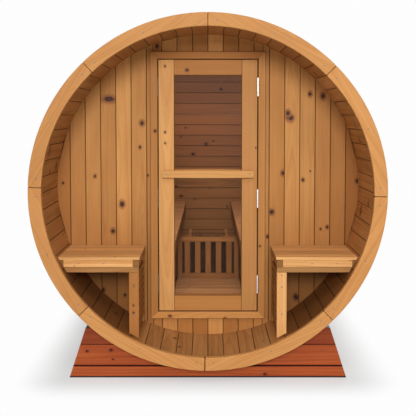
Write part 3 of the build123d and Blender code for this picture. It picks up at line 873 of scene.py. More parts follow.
@dataclass
class Cooperage:
    """The staves, the two rings of eight segments and the bands' bolts.

    Angles run from the top towards +X.  A segment's slope is the lean of its grain in degrees.  A
    stave is darker and redder in the top eighths, as painted shade; its edges are its joint, its
    end grain and its mottle.  The bolt is its radius, its head's and half its length.
    """

    octants: tuple[str, ...] = (
        "top_right", "upper_right", "lower_right", "bottom_right",
        "bottom_left", "lower_left", "upper_left", "top_left",
    )
    # partly painted light and shade: the top eighths darker, the right eighths lighter
    octant_tones: tuple[float, ...] = (0.90, 1.12, 1.12, 1.08, 1.08, 1.0, 1.0, 0.90)
    staves_each: int = 8
    # the top eighths' redness is painted shade
    stave_warmth: Pair = (0.05, 0.45)
    stave_edges: tuple[float, float, float] = (0.80, 0.5, 1.3)
    sunk_share: float = 0.97
    thick: float = 42 * MM
    gap: float = 0.3 * MM
    bevel: float = 2.5 * MM
    outer_ease: float = 1.5 * MM
    tongue: Pair = (18 * MM, 6 * MM)
    croze: float = 10 * MM
    wall_depths: Pair = (0.440, 2.420)
    wall_thick: float = 40 * MM
    ring_ease: float = 3 * MM
    ring_steps: int = 26
    joint_gaps: tuple[float, ...] = (0.0016, 0.0016, 0.0022, 0.0018, 0.0040, 0.0018, 0.0022, 0.0018)
    front_joints: tuple[float, ...] = (0.0, 45.0, 91.0, 135.5, 181.0, 226.5, 272.0, 316.5, 360.0)
    segment_slopes: tuple[float, ...] = (11.0, -9.0, 7.0, -4.0, 4.0, -6.0, 9.0, -12.0)
    # partly painted light: the lower and right segments lighter
    segment_tones: tuple[float, ...] = (1.02, 1.12, 1.14, 1.13, 1.13, 1.06, 0.98, 1.0)
    screw_offset: float = 51 * MM
    screw_drop: float = 8 * MM
    spline: Pair = (4 * MM, 2.5 * MM)
    bolt: tuple[float, float, float] = (4 * MM, 6.8 * MM, 26 * MM)
    knots: Knots = (
        (-0.198, -0.975, 0.173, 0.009), (-0.164, -1.114, 0.167, 0.008), (-0.548, -0.998, 0.332, 0.010),
        (-0.894, -1.168, 1.313, -0.010), (-0.916, -0.905, 1.207, -0.009), (-0.920, -1.061, 1.177, -0.006),
        (0.632, -1.007, 1.752, -0.009), (0.829, -0.874, 1.487, -0.008), (0.860, -0.861, 1.419, -0.008),
        (0.877, -1.071, 1.372, -0.007), (0.915, -0.956, 0.941, -0.010), (0.921, -1.120, 0.993, -0.008),
        (0.844, -1.114, 1.456, -0.006),
    )

    @property
    def half_pitch(self) -> float:
        """Half the angle that one stave takes."""
        return math.pi / (len(self.octants) * self.staves_each)

    def flank(self, side: int) -> Array:
        """One flank of a stave's section: its bevel, V tongue or groove, and eased back.

        Args:
            side: 1 for the flank with the tongue, -1 for the one with the groove.

        Returns:
            Points (x, radius) from the inner face to the back.
        """
        inner, outer = barrel.inner_r, barrel.inner_r + self.thick
        middle, (root, length) = (inner + outer) / 2, self.tongue
        radius = np.array([inner, inner + self.bevel, middle - root / 2, middle, middle + root / 2,
                           outer - self.outer_ease, outer])
        x = radius * math.tan(self.half_pitch) - self.gap / 2
        x[[0, -1]] -= self.bevel, self.outer_ease
        x[3] += side * length * math.cos(self.half_pitch)
        radius[3] -= side * length * math.sin(self.half_pitch)
        return np.column_stack([side * x, radius])

    def build_staves(self) -> None:
        """Carry the section of each stave along the barrel, its inner side sunk in the crozes."""
        profile = np.concatenate([self.flank(1), self.flank(-1)[::-1]])
        bottom = barrel.inner_r + self.croze
        sunk, shallow = profile.copy(), profile[:, 1] < bottom
        sunk[shallow, 0] = np.sign(profile[shallow, 0]) * (bottom * math.tan(self.half_pitch) - self.gap / 2)
        sunk[shallow, 1] = bottom
        sunk[[0, -1], 0] *= self.sunk_share
        first, last = spans("staves_top_left")[1]
        depths = [first]
        for depth in self.wall_depths:
            start, stop = barrel.front + depth - SEAT, barrel.front + depth + self.wall_thick + SEAT
            depths += [start, start + 0.1 * MM, stop - 0.1 * MM, stop]
        cut = np.array([False, *(False, True, True, False) * len(self.wall_depths), False])
        sections = np.where(cut[:, None, None], sunk, profile)
        spine = np.array([(0.0, y, barrel.axis_z) for y in (*depths, last)])[:, None]
        half = ((last - first) / 2, profile[1, 0], self.thick / 2)
        for number, (octant, tone) in enumerate(zip(self.octants, self.octant_tones)):
            # painted shade under the benches on the staves' inner faces
            piece = Joinery(40 + number, self.knots, 1.1, 0.10, shade=BenchShade(grime_and_shade=0.0))
            warmth = self.stave_warmth[octant.startswith("top")]
            for stave in range(self.staves_each):
                angle = (number + 1) * math.pi / 4 - self.half_pitch * (2 * stave + 1)
                axes = round_axes(angle)
                middle = barrel.spot(barrel.inner_r + self.thick / 2, angle, (first + last) / 2)
                grain = Grain(middle, axes[[2, 0, 1]], half, tone, warmth, *self.stave_edges)
                piece.add(spine + sections @ axes[:2], grain)
            piece.build(f"coopered_staves_{octant}", STAVE, f"staves_{octant}")

    def build_ring(self, end: str, outward: int, seed: int) -> None:
        """Carry an eased section round each eighth of a ring, with a dark loose tongue in each joint.

        Args:
            end: front or rear.
            outward: the y direction of its face.
            seed: of its chances.
        """
        node, name, ease = f"{end}_ring", f"segment_ring_{end}", self.ring_ease
        piece, screws = Joinery(seed, knotty=0.0, spread=0.015), Turned()
        y = spans(node)[1]
        half = np.array([(barrel.ring_r - barrel.inner_r) / 2, np.ptp(y) / 2])
        mid_r, mid_y = barrel.inner_r + half[0], y.mean()
        section = eased(*half, ease)
        joints = np.radians(self.front_joints if outward < 0 else np.arange(9) * 45.0)
        for number in range(len(self.octants)):
            low, high = joints[number : number + 2]
            self.add_spline(piece, low, (mid_r, mid_y), half)
            start = low + self.joint_gaps[number] / 2
            stop = high - self.joint_gaps[(number + 1) % len(self.octants)] / 2
            between = np.linspace(start, stop, self.ring_steps)[1:-1]
            angles = np.array([start, start + ease, *between, stop - ease, stop])
            sections = np.tile(section, (len(angles), 1, 1))
            sections[[0, -1]] *= 1 - ease / half
            bisector = (low + high) / 2
            grain = Grain(barrel.spot(mid_r, bisector, mid_y),
                          round_axes(bisector + math.radians(self.segment_slopes[number])),
                          (2.0, 2.0, half[1]), self.segment_tones[number], mottle=0.6)
            piece.add(barrel.spot(mid_r + sections[..., 0], angles[:, None], mid_y + sections[..., 1]), grain)
            for angle in (low + self.screw_offset, bisector, high - self.screw_offset):
                screws.screw(barrel.spot(mid_r - self.screw_drop, angle, mid_y + outward * half[1]), outward)
        piece.build(name, RING, node)
        screws.build(f"{name}_screws", SCREW)

    def add_spline(self, piece: Joinery, angle: float, middle: Pair, half: Pair) -> None:
        """Set the loose tongue of a joint, a little under the ring's faces.

        Args:
            piece: the ring.
            angle: of the joint.
            middle: the ring's radius and y.
            half: half the ring's width and thickness.
        """
        thin, under = self.spline
        section = eased(thin, half[1] - under, 0.5 * MM, 1)
        size = (half[0] - 2 * MM, thin, half[1] - under)
        grain = Grain(barrel.spot(middle[0], angle, middle[1]), round_axes(angle)[[1, 0, 2]], size, 0.08)
        piece.carry(section, grain, ease=0.3 * MM)

    def build_bands(self) -> None:
        """Dress the bands and add the bolt that draws each one's lugs together."""
        r, head, length = self.bolt
        for place in ("front", "middle", "rear"):
            node = f"steel_band_{place}"
            BAND.dress(node)
            x, y, _ = spans(node)
            piece = Turned()
            profile = [(0, -length - 6 * MM), (head, -length - 6 * MM), (head, -length), (r, -length),
                       (r, length), (head, length), (head, length + 5 * MM), (0, length + 5 * MM)]
            piece.turn(profile, (x[1] - 10 * MM, y.mean(), barrel.axis_z), 2)
            piece.build(f"band_bolt_{place}", BAND)

    def build(self) -> None:
        """Build the whole barrel."""
        self.build_staves()
        self.build_ring("front", -1, 11)
        self.build_ring("rear", 1, 12)
        self.build_bands()


@dataclass
class EndWalls:
    """V-jointed boards let into the crozes: upright in front, level at the back.

    Tones run outwards from the middle of the front wall, from left to right over the door, and
    upwards on the back wall.
    """

    pitch: float = 94 * MM
    gap: float = 0.4 * MM
    bevel: float = 3 * MM
    least: float = 5 * MM
    scribe_r: float = 0.9347
    joint: float = 0.72
    back_drop: float = 24 * MM
    back_cap: float = 40 * MM
    over_tone: float = 1.07
    upper_back_warmth: float = 0.45
    # painted shade colour: a board reddens as its tone falls
    red_below: float = 0.97
    red_rate: float = 3.2
    reddest: float = 0.9
    # partly each board's own tone, partly painted shade: the outermost boards darker where the barrel's rim
    # shades them
    tones_left: tuple[float, ...] = (1.0, 1.0, 1.0, 0.84, 0.92, 1.08, 0.90, 1.0, 0.92, 0.76)
    tones_right: tuple[float, ...] = (1.0, 1.0, 1.0, 0.92, 0.90, 1.04, 0.98, 0.88, 0.80, 0.62)
    tones_door: tuple[float, ...] = (0.78, 0.92, 0.82, 0.74, 1.06, 0.74, 0.82, 0.86)
    # partly each board's own tone, partly painted light: the back wall's brightness behind the glass, given
    # board by board
    tones_back: tuple[float, ...] = (
        0.75, 0.75, 0.75, 0.75, 0.77, 0.77, 0.71, 0.72, 0.60, 0.74,
        0.82, 0.90, 1.0, 1.30, 1.36, 1.26, 1.06, 0.95, 0.85, 0.9, 0.9,
    )
    knots: Knots = in_plane(
        -0.825,
        (-0.605, 1.611, -0.013), (-0.404, 1.464, 0.012), (-0.417, 1.317, 0.007), (-0.695, 1.138, 0.008),
        (-0.530, 0.965, 0.014), (-0.586, 0.797, 0.011), (-0.892, 1.095, 0.006), (-0.310, 1.933, 0.010),
        (0.491, 1.525, 0.013), (0.503, 1.495, 0.014), (0.624, 1.641, 0.010), (0.704, 1.629, 0.013),
        (0.462, 1.157, 0.011), (0.585, 1.114, 0.008), (0.628, 1.169, 0.004), (0.611, 0.959, 0.007),
        (0.918, 1.107, 0.010), (0.395, 0.915, 0.012), (0.736, 0.822, 0.008), (0.699, 0.810, 0.006),
        (-0.651, 0.429, 0.011), (-0.515, 0.397, 0.007), (0.547, 0.385, 0.014),
    )
    back_knots: Knots = in_plane(
        1.155,
        (-0.020, 1.255, 0.013), (-0.135, 1.166, 0.012), (0.114, 1.744, 0.010), (-0.242, 1.318, 0.006),
        (-0.288, 0.871, 0.010), (-0.243, 0.790, 0.009), (0.045, 1.28, 0.006), (-0.20, 1.40, 0.006),
        (0.02, 0.86, 0.006),
    )

    def section(self, width: float, thick: float, bevels: tuple[bool, bool] = (True, True)) -> Array:
        """Outline of a board whose face arrises are bevelled for the V joint.

        Args:
            width: across the board.
            thick: through it.
            bevels: whether its low and its high arris are bevelled, and not just eased.

        Returns:
            Points (across, through).
        """
        a, b = width / 2, thick / 2
        low, high = (self.bevel if bevelled else SEAT for bevelled in bevels)
        return np.array([(low - a, -b), (a - high, -b), (a, high - b), (a, b), (-a, b), (-a, low - b)])

    def upright(self, piece: Joinery, x: Pair, y: Pair, z: Pair, tone: float, warmth: float,
                bevels: tuple[bool, bool]) -> None:
        """Add one upright board, scribed to the croze.

        Args:
            piece: that it joins.
            x: the two x that it lies between.
            y: the two y.
            z: the two heights over the axis that it may not pass.
            tone: how light it is.
            warmth: how red it is.
            bevels: of its low and its high arris.
        """
        middle = np.array([np.mean(x), np.mean(y), barrel.axis_z])
        section = self.section(np.ptp(x), np.ptp(y), bevels)
        round_h = half_chord(self.scribe_r, middle[0] + section[:, 0])
        start, stop = np.maximum(-round_h, z[0]), np.minimum(round_h, z[1])
        if np.any(stop - start < 4 * MM):
            return
        half = (np.abs([start, stop]).max() + 5 * MM, np.ptp(x) / 2, np.ptp(y) / 2)
        grain = Grain(middle, Along.Z.axes(), half, tone, warmth, self.joint, mottle=1.0)
        piece.carry(section, grain, (start, stop), 0.4 * MM, BenchShade().stations)

    def build_front(self) -> None:
        """Board the four zones of the front wall; a board reddens as its tone falls, as painted shade."""
        for zone, seed, tones in (
            ("left", 18, self.tones_left), ("right", 19, self.tones_right),
            ("over_door", 23, self.tones_door), ("under_door", 24, self.tones_door),
        ):
            node, at_door = f"front_wall_{zone}", "door" in zone
            (left, right), y, z = spans(node)
            # painted shade under the benches, and on the wall above the seats except under the door
            shade = BenchShade(grime_and_shade=0.0) if zone == "under_door" else BenchShade()
            piece = Joinery(seed, self.knots, 0.35, 0.03, shade=shade)
            first, last = math.floor(left / self.pitch), math.ceil(right / self.pitch)
            for number in range(first, last):
                low, high = number * self.pitch + self.gap / 2, (number + 1) * self.pitch - self.gap / 2
                x = (max(left, low), min(right, high))
                if np.ptp(x) < self.least:
                    continue
                outwards = min(number if number >= 0 else -1 - number, len(tones) - 1)
                tone = tones[number - first if at_door else outwards]
                warmth = min(max(0.0, self.red_below - tone) * self.red_rate, self.reddest)
                bevels = (x[0] > left or zone == "left", x[1] < right or zone == "right")
                self.upright(piece, x, y, z - barrel.axis_z, tone * (self.over_tone if at_door else 1.0),
                             warmth, bevels)
            piece.build(f"porch_wall_{zone}", CEDAR, node)

    def build_back(self) -> None:
        """Board the back wall with level boards scribed to the croze."""
        y = spans("back_wall")[1]
        piece = Joinery(71, self.back_knots, 0.8, 0.05)
        count = math.ceil(self.scribe_r / self.pitch)
        cap = half_chord(self.scribe_r, self.back_cap)
        for number, tone in zip(range(-count, count + 1), self.tones_back):
            foot = number * self.pitch - self.back_drop
            low, high = max(foot + self.gap / 2, -cap), min(foot + self.pitch - self.gap / 2, cap)
            if high - low < self.least:
                continue
            height, thick = (low + high) / 2, np.ptp(y)
            section = self.section(high - low, thick)
            reach = half_chord(self.scribe_r, height + section[:, 0])
            grain = Grain(np.array([0.0, y.mean(), barrel.axis_z + height]), flat_axes(0, 1),
                          (1.0, (high - low) / 2, thick / 2), tone, self.upper_back_warmth * (number >= 0),
                          self.joint)
            piece.carry(section, grain, (-reach, reach), 0.4 * MM)
        piece.build("cabin_back_boards", CABIN, "back_wall")

    def build(self) -> None:
        """Build both walls."""
        self.build_front()
        self.build_back()


@dataclass
class Doorway:
    """The lining, the rebate stops, and the mitred casing's boards as tone, redness, axis and side."""

    casing_width: float = 46 * MM
    # the head board's low tone and high redness are partly painted shade under the roof
    casing: tuple[tuple[float, float, int, int], ...] = (
        (0.78, 0.85, 0, 1), (1.12, 0.05, 0, -1), (0.80, 0.45, 2, -1), (0.90, 0.35, 2, 1),
    )
    knots: Knots = in_plane(
        -0.845,
        (-0.323, 1.416, 0.007), (-0.235, 0.271, 0.007), (0.106, 0.258, 0.005), (0.320, 0.708, 0.005),
    )

    def build_lining(self) -> None:
        """The jambs, head and sill, and the stops inside them."""
        # painted shade: the lining and the stops darkened within the door's reveal
        for node, name, lip, tone in (
            ("door_frame", "door_lining", 30 * MM, 0.45), ("door_stops", "rebate_stops", 11.7 * MM, 0.30),
        ):
            x, y, z = spans(node)
            piece = Joinery(len(name), knotty=0.2)
            upright = (z[0] + lip + SEAT, z[1] - lip - SEAT)
            for side in ((x[0], x[0] + lip), (x[1] - lip, x[1])):
                piece.bar(side, y, upright, Along.Z, tone, ease=1.5 * MM)
            for level in ((z[0], z[0] + lip), (z[1] - lip, z[1])):
                piece.bar(x, y, level, Along.X, tone, ease=1.5 * MM)
            piece.build(name, CEDAR, node)

    def build_casing(self) -> None:
        """Four boards mitred at the corners: each end runs at 45 degrees across the board."""
        box = spans("door_casing")
        piece = Joinery(23, self.knots, 0.0, 0.02)
        half_width, half_thick = self.casing_width / 2, np.ptp(box[1]) / 2
        section = eased(half_width, half_thick, 2.5 * MM)
        for tone, warmth, axis, side in self.casing:
            middle = box.mean(axis=1)
            middle[2 - axis] = box[2 - axis, (side + 1) // 2] - side * half_width
            reach = np.ptp(box[axis]) / 2 - half_width + section[:, 0] - 0.2 * MM
            half = (reach.max() + 1.0, half_width, half_thick)
            grain = Grain(middle, flat_axes(axis, side), half, tone, warmth, 0.65)
            piece.carry(section, grain, (-reach, reach), 0.5 * MM)
        piece.build("mitred_casing", CEDAR, "door_casing")

    def build(self) -> None:
        """Build the doorway."""
        self.build_lining()
        self.build_casing()


@dataclass
class DoorLeaf:
    """Stiles, rails, glass and the two bow handles.

    The groove is as deep and half as wide as its two numbers.  Members are side, tone and redness.
    """

    arris: float = 2 * MM
    groove: Pair = (10.3 * MM, 3.3 * MM)
    glass_in: float = 10 * MM
    stiles: tuple[tuple[int, float, float], ...] = ((-1, 1.14, 0.05), (1, 0.93, 0.40))
    rails: tuple[tuple[int, float, float], ...] = ((1, 0.83, 0.50), (-1, 0.95, 0.50))
    bow_end: float = 23.7 * MM
    bow_thick: float = 18 * MM
    bow_foot: float = 85 * MM
    bow_arch: float = 4 * MM
    bow_steps: int = 25
    knots: Knots = in_plane(
        -0.843,
        (-0.261, 1.810, 0.006), (-0.262, 1.409, 0.006), (-0.262, 1.342, 0.005), (-0.257, 1.066, 0.005),
        (-0.127, 1.786, 0.008), (-0.290, 0.427, 0.005), (-0.235, 1.74, 0.005),
    )

    def grooved(self, a: float, b: float) -> Array:
        """Section of a stile or rail, eased, with the glass groove in its edge towards the pane.

        Args:
            a: half its width.
            b: half its thickness.

        Returns:
            Points (across, through).
        """
        (deep, wide), e = self.groove, self.arris
        return np.array([
            (-a, -wide), (deep - a, -wide), (deep - a, wide), (-a, wide), (-a, b - e), (e - a, b),
            (a - e, b), (a, b - e), (a, e - b), (a - e, -b), (e - a, -b), (-a, e - b),
        ])

    def build_frame(self) -> None:
        """The two stiles and the two rails."""
        pane = spans("door_glass")
        for part, axis, members, finish, knotty, joint, ease in (
            ("stiles", 2, self.stiles, LEAF, 0.3, 0.70, self.arris),
            ("rails", 0, self.rails, CEDAR, 0.0, 0.10, SEAT),
        ):
            box, other = spans(f"door_{part}"), 2 - axis
            piece = Joinery(31 if axis else 33, self.knots, knotty, 0.0)
            for side, tone, warmth in members:
                edge = (side + 1) // 2
                inner, outer = pane[other, edge] - side * self.glass_in, box[other, edge]
                middle, half = box.mean(axis=1), np.ptp(box, axis=1) / 2
                middle[other] = (inner + outer) / 2
                half = (half[axis], abs(outer - inner) / 2, half[1])
                grain = Grain(middle, flat_axes(axis, side), half, tone, warmth, joint)
                piece.carry(self.grooved(*half[1:]), grain, ease=ease)
            piece.build(f"leaf_{part}", finish, f"door_{part}", body="door")

    def build_handle(self, node: str, name: str, outward: int, seed: int) -> None:
        """A bow bar: its face is an arc in plan and its back is hollowed between two flat feet.

        At each place along the bar the section lies between the back and the face, and its top
        edge rises a little to the middle.

        Args:
            node: the CAD handle.
            name: of the piece.
            outward: the y direction of its face.
            seed: of its chances.
        """
        x, y, z = spans(node)
        half_length, crest, base = np.ptp(x) / 2, np.ptp(y), y[(1 - outward) // 2]
        hollow_half, ease = half_length - self.bow_foot, 1.5 * MM
        hollow = np.linspace(-hollow_half, hollow_half, self.bow_steps)
        along = np.array([-half_length, ease - half_length, *hollow, half_length - ease, half_length])

        def rounded(place: Array | float) -> Array | float:
            """1 at the middle of the bar, falling as a parabola to 0 at its ends."""
            return 1 - (place / half_length) ** 2

        face = self.bow_end + (crest - self.bow_end) * rounded(along)
        back = np.maximum(1 - (along / hollow_half) ** 2, 0.0) * (crest - self.bow_thick)
        tall = (np.ptp(z) - self.bow_arch * (1 - rounded(along))) / 2
        outlines = []
        for k, place in enumerate(along):
            inset = ease if k in (0, len(along) - 1) else 0.0
            section = eased(tall[k] - inset, (face[k] - back[k]) / 2 - inset, 3 * MM - inset)
            depth = base + outward * ((face[k] + back[k]) / 2 + section[:, 1])
            height = z[0] + tall[k] + section[:, 0]
            outlines.append(np.column_stack([np.full(len(section), place), depth, height]))
        piece, screws = Joinery(seed, knotty=0.0, spread=0.0), Turned()
        middle = np.array([0.0, base + outward * crest / 2, z.mean()])
        piece.add(np.array(outlines), Grain(middle, Along.X.axes(), (half_length, 0.2, 0.2), 1.12))
        piece.build(name, LEAF, node, body="door")
        at = half_length - 24 * MM
        depth = self.bow_end + (crest - self.bow_end) * rounded(at) + 0.1 * MM
        for side in (-1, 1):
            screws.screw((side * at, base + outward * depth, middle[2]), outward)
        screws.build(f"{name}_screws", SCREW, body="door")

    def build(self) -> None:
        """Build the leaf and dress its pane."""
        self.build_frame()
        GLASS.dress("door_glass")
        self.build_handle("door_handle", "bow_handle", -1, 35)
        self.build_handle("door_inner_handle", "bow_handle_inside", 1, 36)


@dataclass
class Hinges:
    """Butt hinges of five knuckles, and the thin plates in the closing gap."""

    knuckles: int = 5
    radius: float = 7 * MM
    length: float = 112 * MM
    ease: float = 0.8 * MM
    heights: tuple[float, float, float] = (0.607, -0.074, -0.605)
    plate: float = 1.2 * MM
    plate_deep: float = 31 * MM
    closing_deep: float = 29 * MM
    leaf_gap: float = 4 * MM

    def leaf(self, first: int, plate_x: float) -> Turned:
        """The knuckles and the plate of one leaf at all three heights.

        Args:
            first: its lowest knuckle; the fixed leaf has number 0, and the pins' heads.
            plate_x: where its plate starts.

        Returns:
            The leaf, not yet built.
        """
        piece, (x, y, _) = Turned(), frame["joints"][0]["pos_m"]
        pitch, r, e = self.length / self.knuckles, self.radius, self.ease
        face = y + r + e
        for height in self.heights:
            bottom = barrel.axis_z + height - self.length / 2
            for knuckle in range(first, self.knuckles, 2):
                low, high = knuckle * pitch + 0.6 * MM, (knuckle + 1) * pitch - 0.6 * MM
                profile = [(0, low), (r - e, low), (r, low + e), (r, high - e), (r - e, high), (0, high)]
                piece.turn(profile, (x, y, bottom), 2, sides=24)
            for end, way in ((0.0, -1), (self.length, 1)) if first == 0 else ():
                profile = [(0, 0), (3.6 * MM, 0), (3.8 * MM, 1.2 * MM), (2.2 * MM, 2.4 * MM), (0, 2.6 * MM)]
                piece.turn(profile, (x, y, bottom + end), 2, way, 16)
            piece.plate((plate_x, plate_x + self.plate), (face, face + self.plate_deep),
                        (bottom, bottom + self.length))
        return piece

    def build(self) -> None:
        """Build both leaves and the closing plates."""
        edge = spans("door_stiles")[0, 1]
        jamb = edge + self.leaf_gap
        self.leaf(0, jamb - SEAT - self.plate).build("frame_butts", ZINC, "frame_hinge_leaves")
        self.leaf(1, edge + SEAT).build("door_butts", ZINC, "door_hinge_leaves", body="door")
        plates = Turned()
        x, y = 0.2 * MM - jamb, spans("door_casing")[1, 0] + 1 * MM
        for height in self.heights:
            z = barrel.axis_z + height
            plates.plate((x, x + self.plate), (y, y + self.closing_deep),
                         (z - self.length / 2, z + self.length / 2))
        plates.build("closing_plates", PLATE)


@dataclass
class PorchBench:
    """One porch bench: slats, frame, apron, posts and the slatted skirt, on side -1 or 1.

    Posts have a tone and a redness for each side; the left one's knots are x, z and radius.  The
    skirt's look is its seed, its knots for each metre, its tone and its redness.
    """

    side: int
    slat_tones: tuple[float, ...] = (1.36, 1.14, 1.34, 1.12)
    slat_gap: float = 5 * MM
    rail_width: float = 34 * MM
    rail_height: float = 42 * MM
    fascia: float = 20 * MM
    outer_rail_x: float = 0.820
    apron_height: float = 32 * MM
    timber: float = 34 * MM
    set_back: float = 10 * MM
    rail_tone: Pair = (0.78, 0.60)
    outer_tone: Pair = (0.72, 0.60)
    fascia_tones: Pair = (1.28, 0.9)
    # the apron's low tone and redness are painted shade under the fascia
    apron_tone: Pair = (0.76, 0.30)
    back_post_tone: Pair = (0.9, 0.1)
    screw_drops: Pair = (0.085, 0.24)
    screw_places: Pair = (0.20, 0.34)
    post_width: float = 56 * MM
    # the left post's low tone and high redness are painted shade
    post_tones: tuple[Pair, Pair] = ((0.88, 0.80), (1.32, 0.0))
    post_knots: tuple[tuple[float, float, float], ...] = (
        (0.421, 0.546, 0.003), (0.424, 0.430, 0.005), (0.424, 0.387, 0.005), (0.402, 0.290, 0.004),
    )
    skirt_pitch: float = 42 * MM
    skirt_height: float = 30 * MM
    # the skirt's low tone and redness are painted shade under the seat
    skirt_look: tuple[int, float, float, float] = (101, 0.5, 0.62, 0.5)
    skirt_finish: WoodFinish = CEDAR
    room: str = "porch"

    @property
    def hand(self) -> str:
        """The side's word in node names."""
        return "right" if self.side > 0 else "left"

    def part(self, kind: str) -> tuple[str, float, Array, Array]:
        """One CAD node of the bench: its name, its inner distance from the middle, its y and its z."""
        node = f"{self.room}_bench_{self.hand}_{kind}"
        x, y, z = spans(node)
        return node, np.abs(x).min(), y, z

    def bar(self, piece: Joinery, x: Pair, y: Pair, z: Pair, along: Along, tone: float = 1.0,
            warmth: float = 0.0, joint: float = 0.10) -> None:
        """Add a timber on this side; one that ends at the barrel is scribed to the staves.

        Args:
            piece: that it joins.
            x: the two distances from the middle that it lies between.
            y: the two y.
            z: the two z.
            along: the direction of its grain.
            tone: how light it is.
            warmth: how red it is.
            joint: how dark its long arrises are.
        """
        near, far = np.sort(np.multiply(x, self.side))

        def to_staves(world: Array) -> tuple[Array, Array]:
            """The outer end's x follows the barrel at each point's height."""
            outer = half_chord(barrel.fit_r, world[:, 2] - barrel.axis_z)
            return (np.full(len(world), near), outer) if self.side > 0 else (-outer, np.full(len(world), far))

        scribe = to_staves if x[1] == barrel.inner_r else None
        piece.bar((near, far), y, z, along, tone, warmth, joint=joint, scribe=scribe)

    def post(self, piece: Joinery, x: float, y: Pair, top: float, tone: float, warmth: float) -> None:
        """Add a post whose foot is scribed to the staves.

        Args:
            piece: that it joins.
            x: its inner distance from the middle.
            y: the two y that it lies between.
            top: its upper z.
            tone: how light it is.
            warmth: how red it is.
        """
        def to_staves(world: Array) -> tuple[Array, Array]:
            """The foot's z follows the barrel at each point's x."""
            return barrel.floor(world[:, 0]), np.full(len(world), top)

        sides = np.sort(np.multiply((x, x + self.post_width), self.side))
        piece.bar(sides, y, (barrel.floor(0.0), top), Along.Z, tone, warmth, scribe=to_staves)

    def outer_rail(self, piece: Joinery, y: Pair, z: Array) -> None:
        """A rail along the barrel, between two y and two z, whose outer side leans with the staves."""
        inner, outer = self.side * self.outer_rail_x, self.side * half_chord(barrel.fit_r, z - barrel.axis_z)
        outline = [(inner, z[0]), (outer[0], z[0]), (outer[1], z[1]), (inner, z[1])]
        piece.rail(outline, y, (30 * MM, 60 * MM), *self.outer_tone)

    def build_seat(self) -> None:
        """The slats along the barrel's width, their outer ends scribed to it."""
        node, inner, y, z = self.part("seat")
        seat = Joinery(81 + self.side, (), 0.9, 0.06, 5 * MM)
        pitch = (np.ptp(y) + self.slat_gap) / len(self.slat_tones)
        for number, tone in enumerate(self.slat_tones):
            low = y[0] + number * pitch
            self.bar(seat, (inner, barrel.inner_r), (low, low + pitch - self.slat_gap), z, Along.X_FLAT, tone,
                     joint=0.6 if number else 0.1)
        seat.build(f"porch_slats_{self.hand}", BENCH, node)

    def build_frame(self) -> None:
        """Rails, fascias, apron and posts, with the fascia's and the post's screws."""
        node, inner, (front, back), (_, top) = self.part("frame")
        z = np.array([top - self.rail_height, top])
        apron_front, apron_top = front + self.set_back, z[0] - SEAT
        apron_low = apron_top - self.apron_height
        knots = [(self.side * x, apron_front, high, r) for x, high, r in self.post_knots if self.side < 0]
        piece, screws = Joinery(91 + self.side, knots, 0.4, 0.03, 5 * MM), Turned()
        self.bar(piece, (inner, inner + self.rail_width), (front, back), z, Along.Y_EDGE, *self.rail_tone)
        self.outer_rail(piece, (front, back), z)
        fascia = (inner + self.rail_width + SEAT, self.outer_rail_x - SEAT)
        for y, tone in zip(((front, front + self.fascia), (back - self.fascia, back)), self.fascia_tones):
            self.bar(piece, fascia, y, z, Along.X, tone)
        post_x, y = inner + 2 * MM, (apron_front, apron_front + self.timber)
        self.bar(piece, (post_x, barrel.inner_r), y, (apron_low, apron_top), Along.X, *self.apron_tone)
        self.post(piece, post_x, y, apron_low - SEAT, *self.post_tones[self.side > 0])
        self.post(piece, post_x, (back - self.timber, back), apron_top, *self.back_post_tone)
        piece.build(f"porch_bench_timbers_{self.hand}", BENCH, node)
        for along in self.screw_places:
            screws.screw((self.side * (inner + along), front, z.mean()), radius=3.5 * MM)
        for drop in self.screw_drops:
            screws.screw((self.side * (post_x + self.post_width / 2), apron_front, apron_low - drop))
        screws.build(f"porch_bench_screws_{self.hand}", SCREW)

    def build_skirt(self) -> None:
        """Level slats behind the inner posts, with gaps between."""
        node = self.part("skirt")[0]
        x, y, z = spans(node)
        seed, knotty, tone, warmth = self.skirt_look
        skirt = Joinery(seed + self.side, knotty=knotty, spread=0.08)
        for number in range(round((np.ptp(z) - self.skirt_height) / self.skirt_pitch) + 1):
            top = z[1] - number * self.skirt_pitch
            skirt.bar(x, y, (top - self.skirt_height, top), Along.Y_EDGE, tone, warmth)
        skirt.build(f"{self.room}_skirt_{self.hand}", self.skirt_finish, node)

    def build(self) -> None:
        """Build the bench."""
        self.build_seat()
        self.build_frame()
        self.build_skirt()


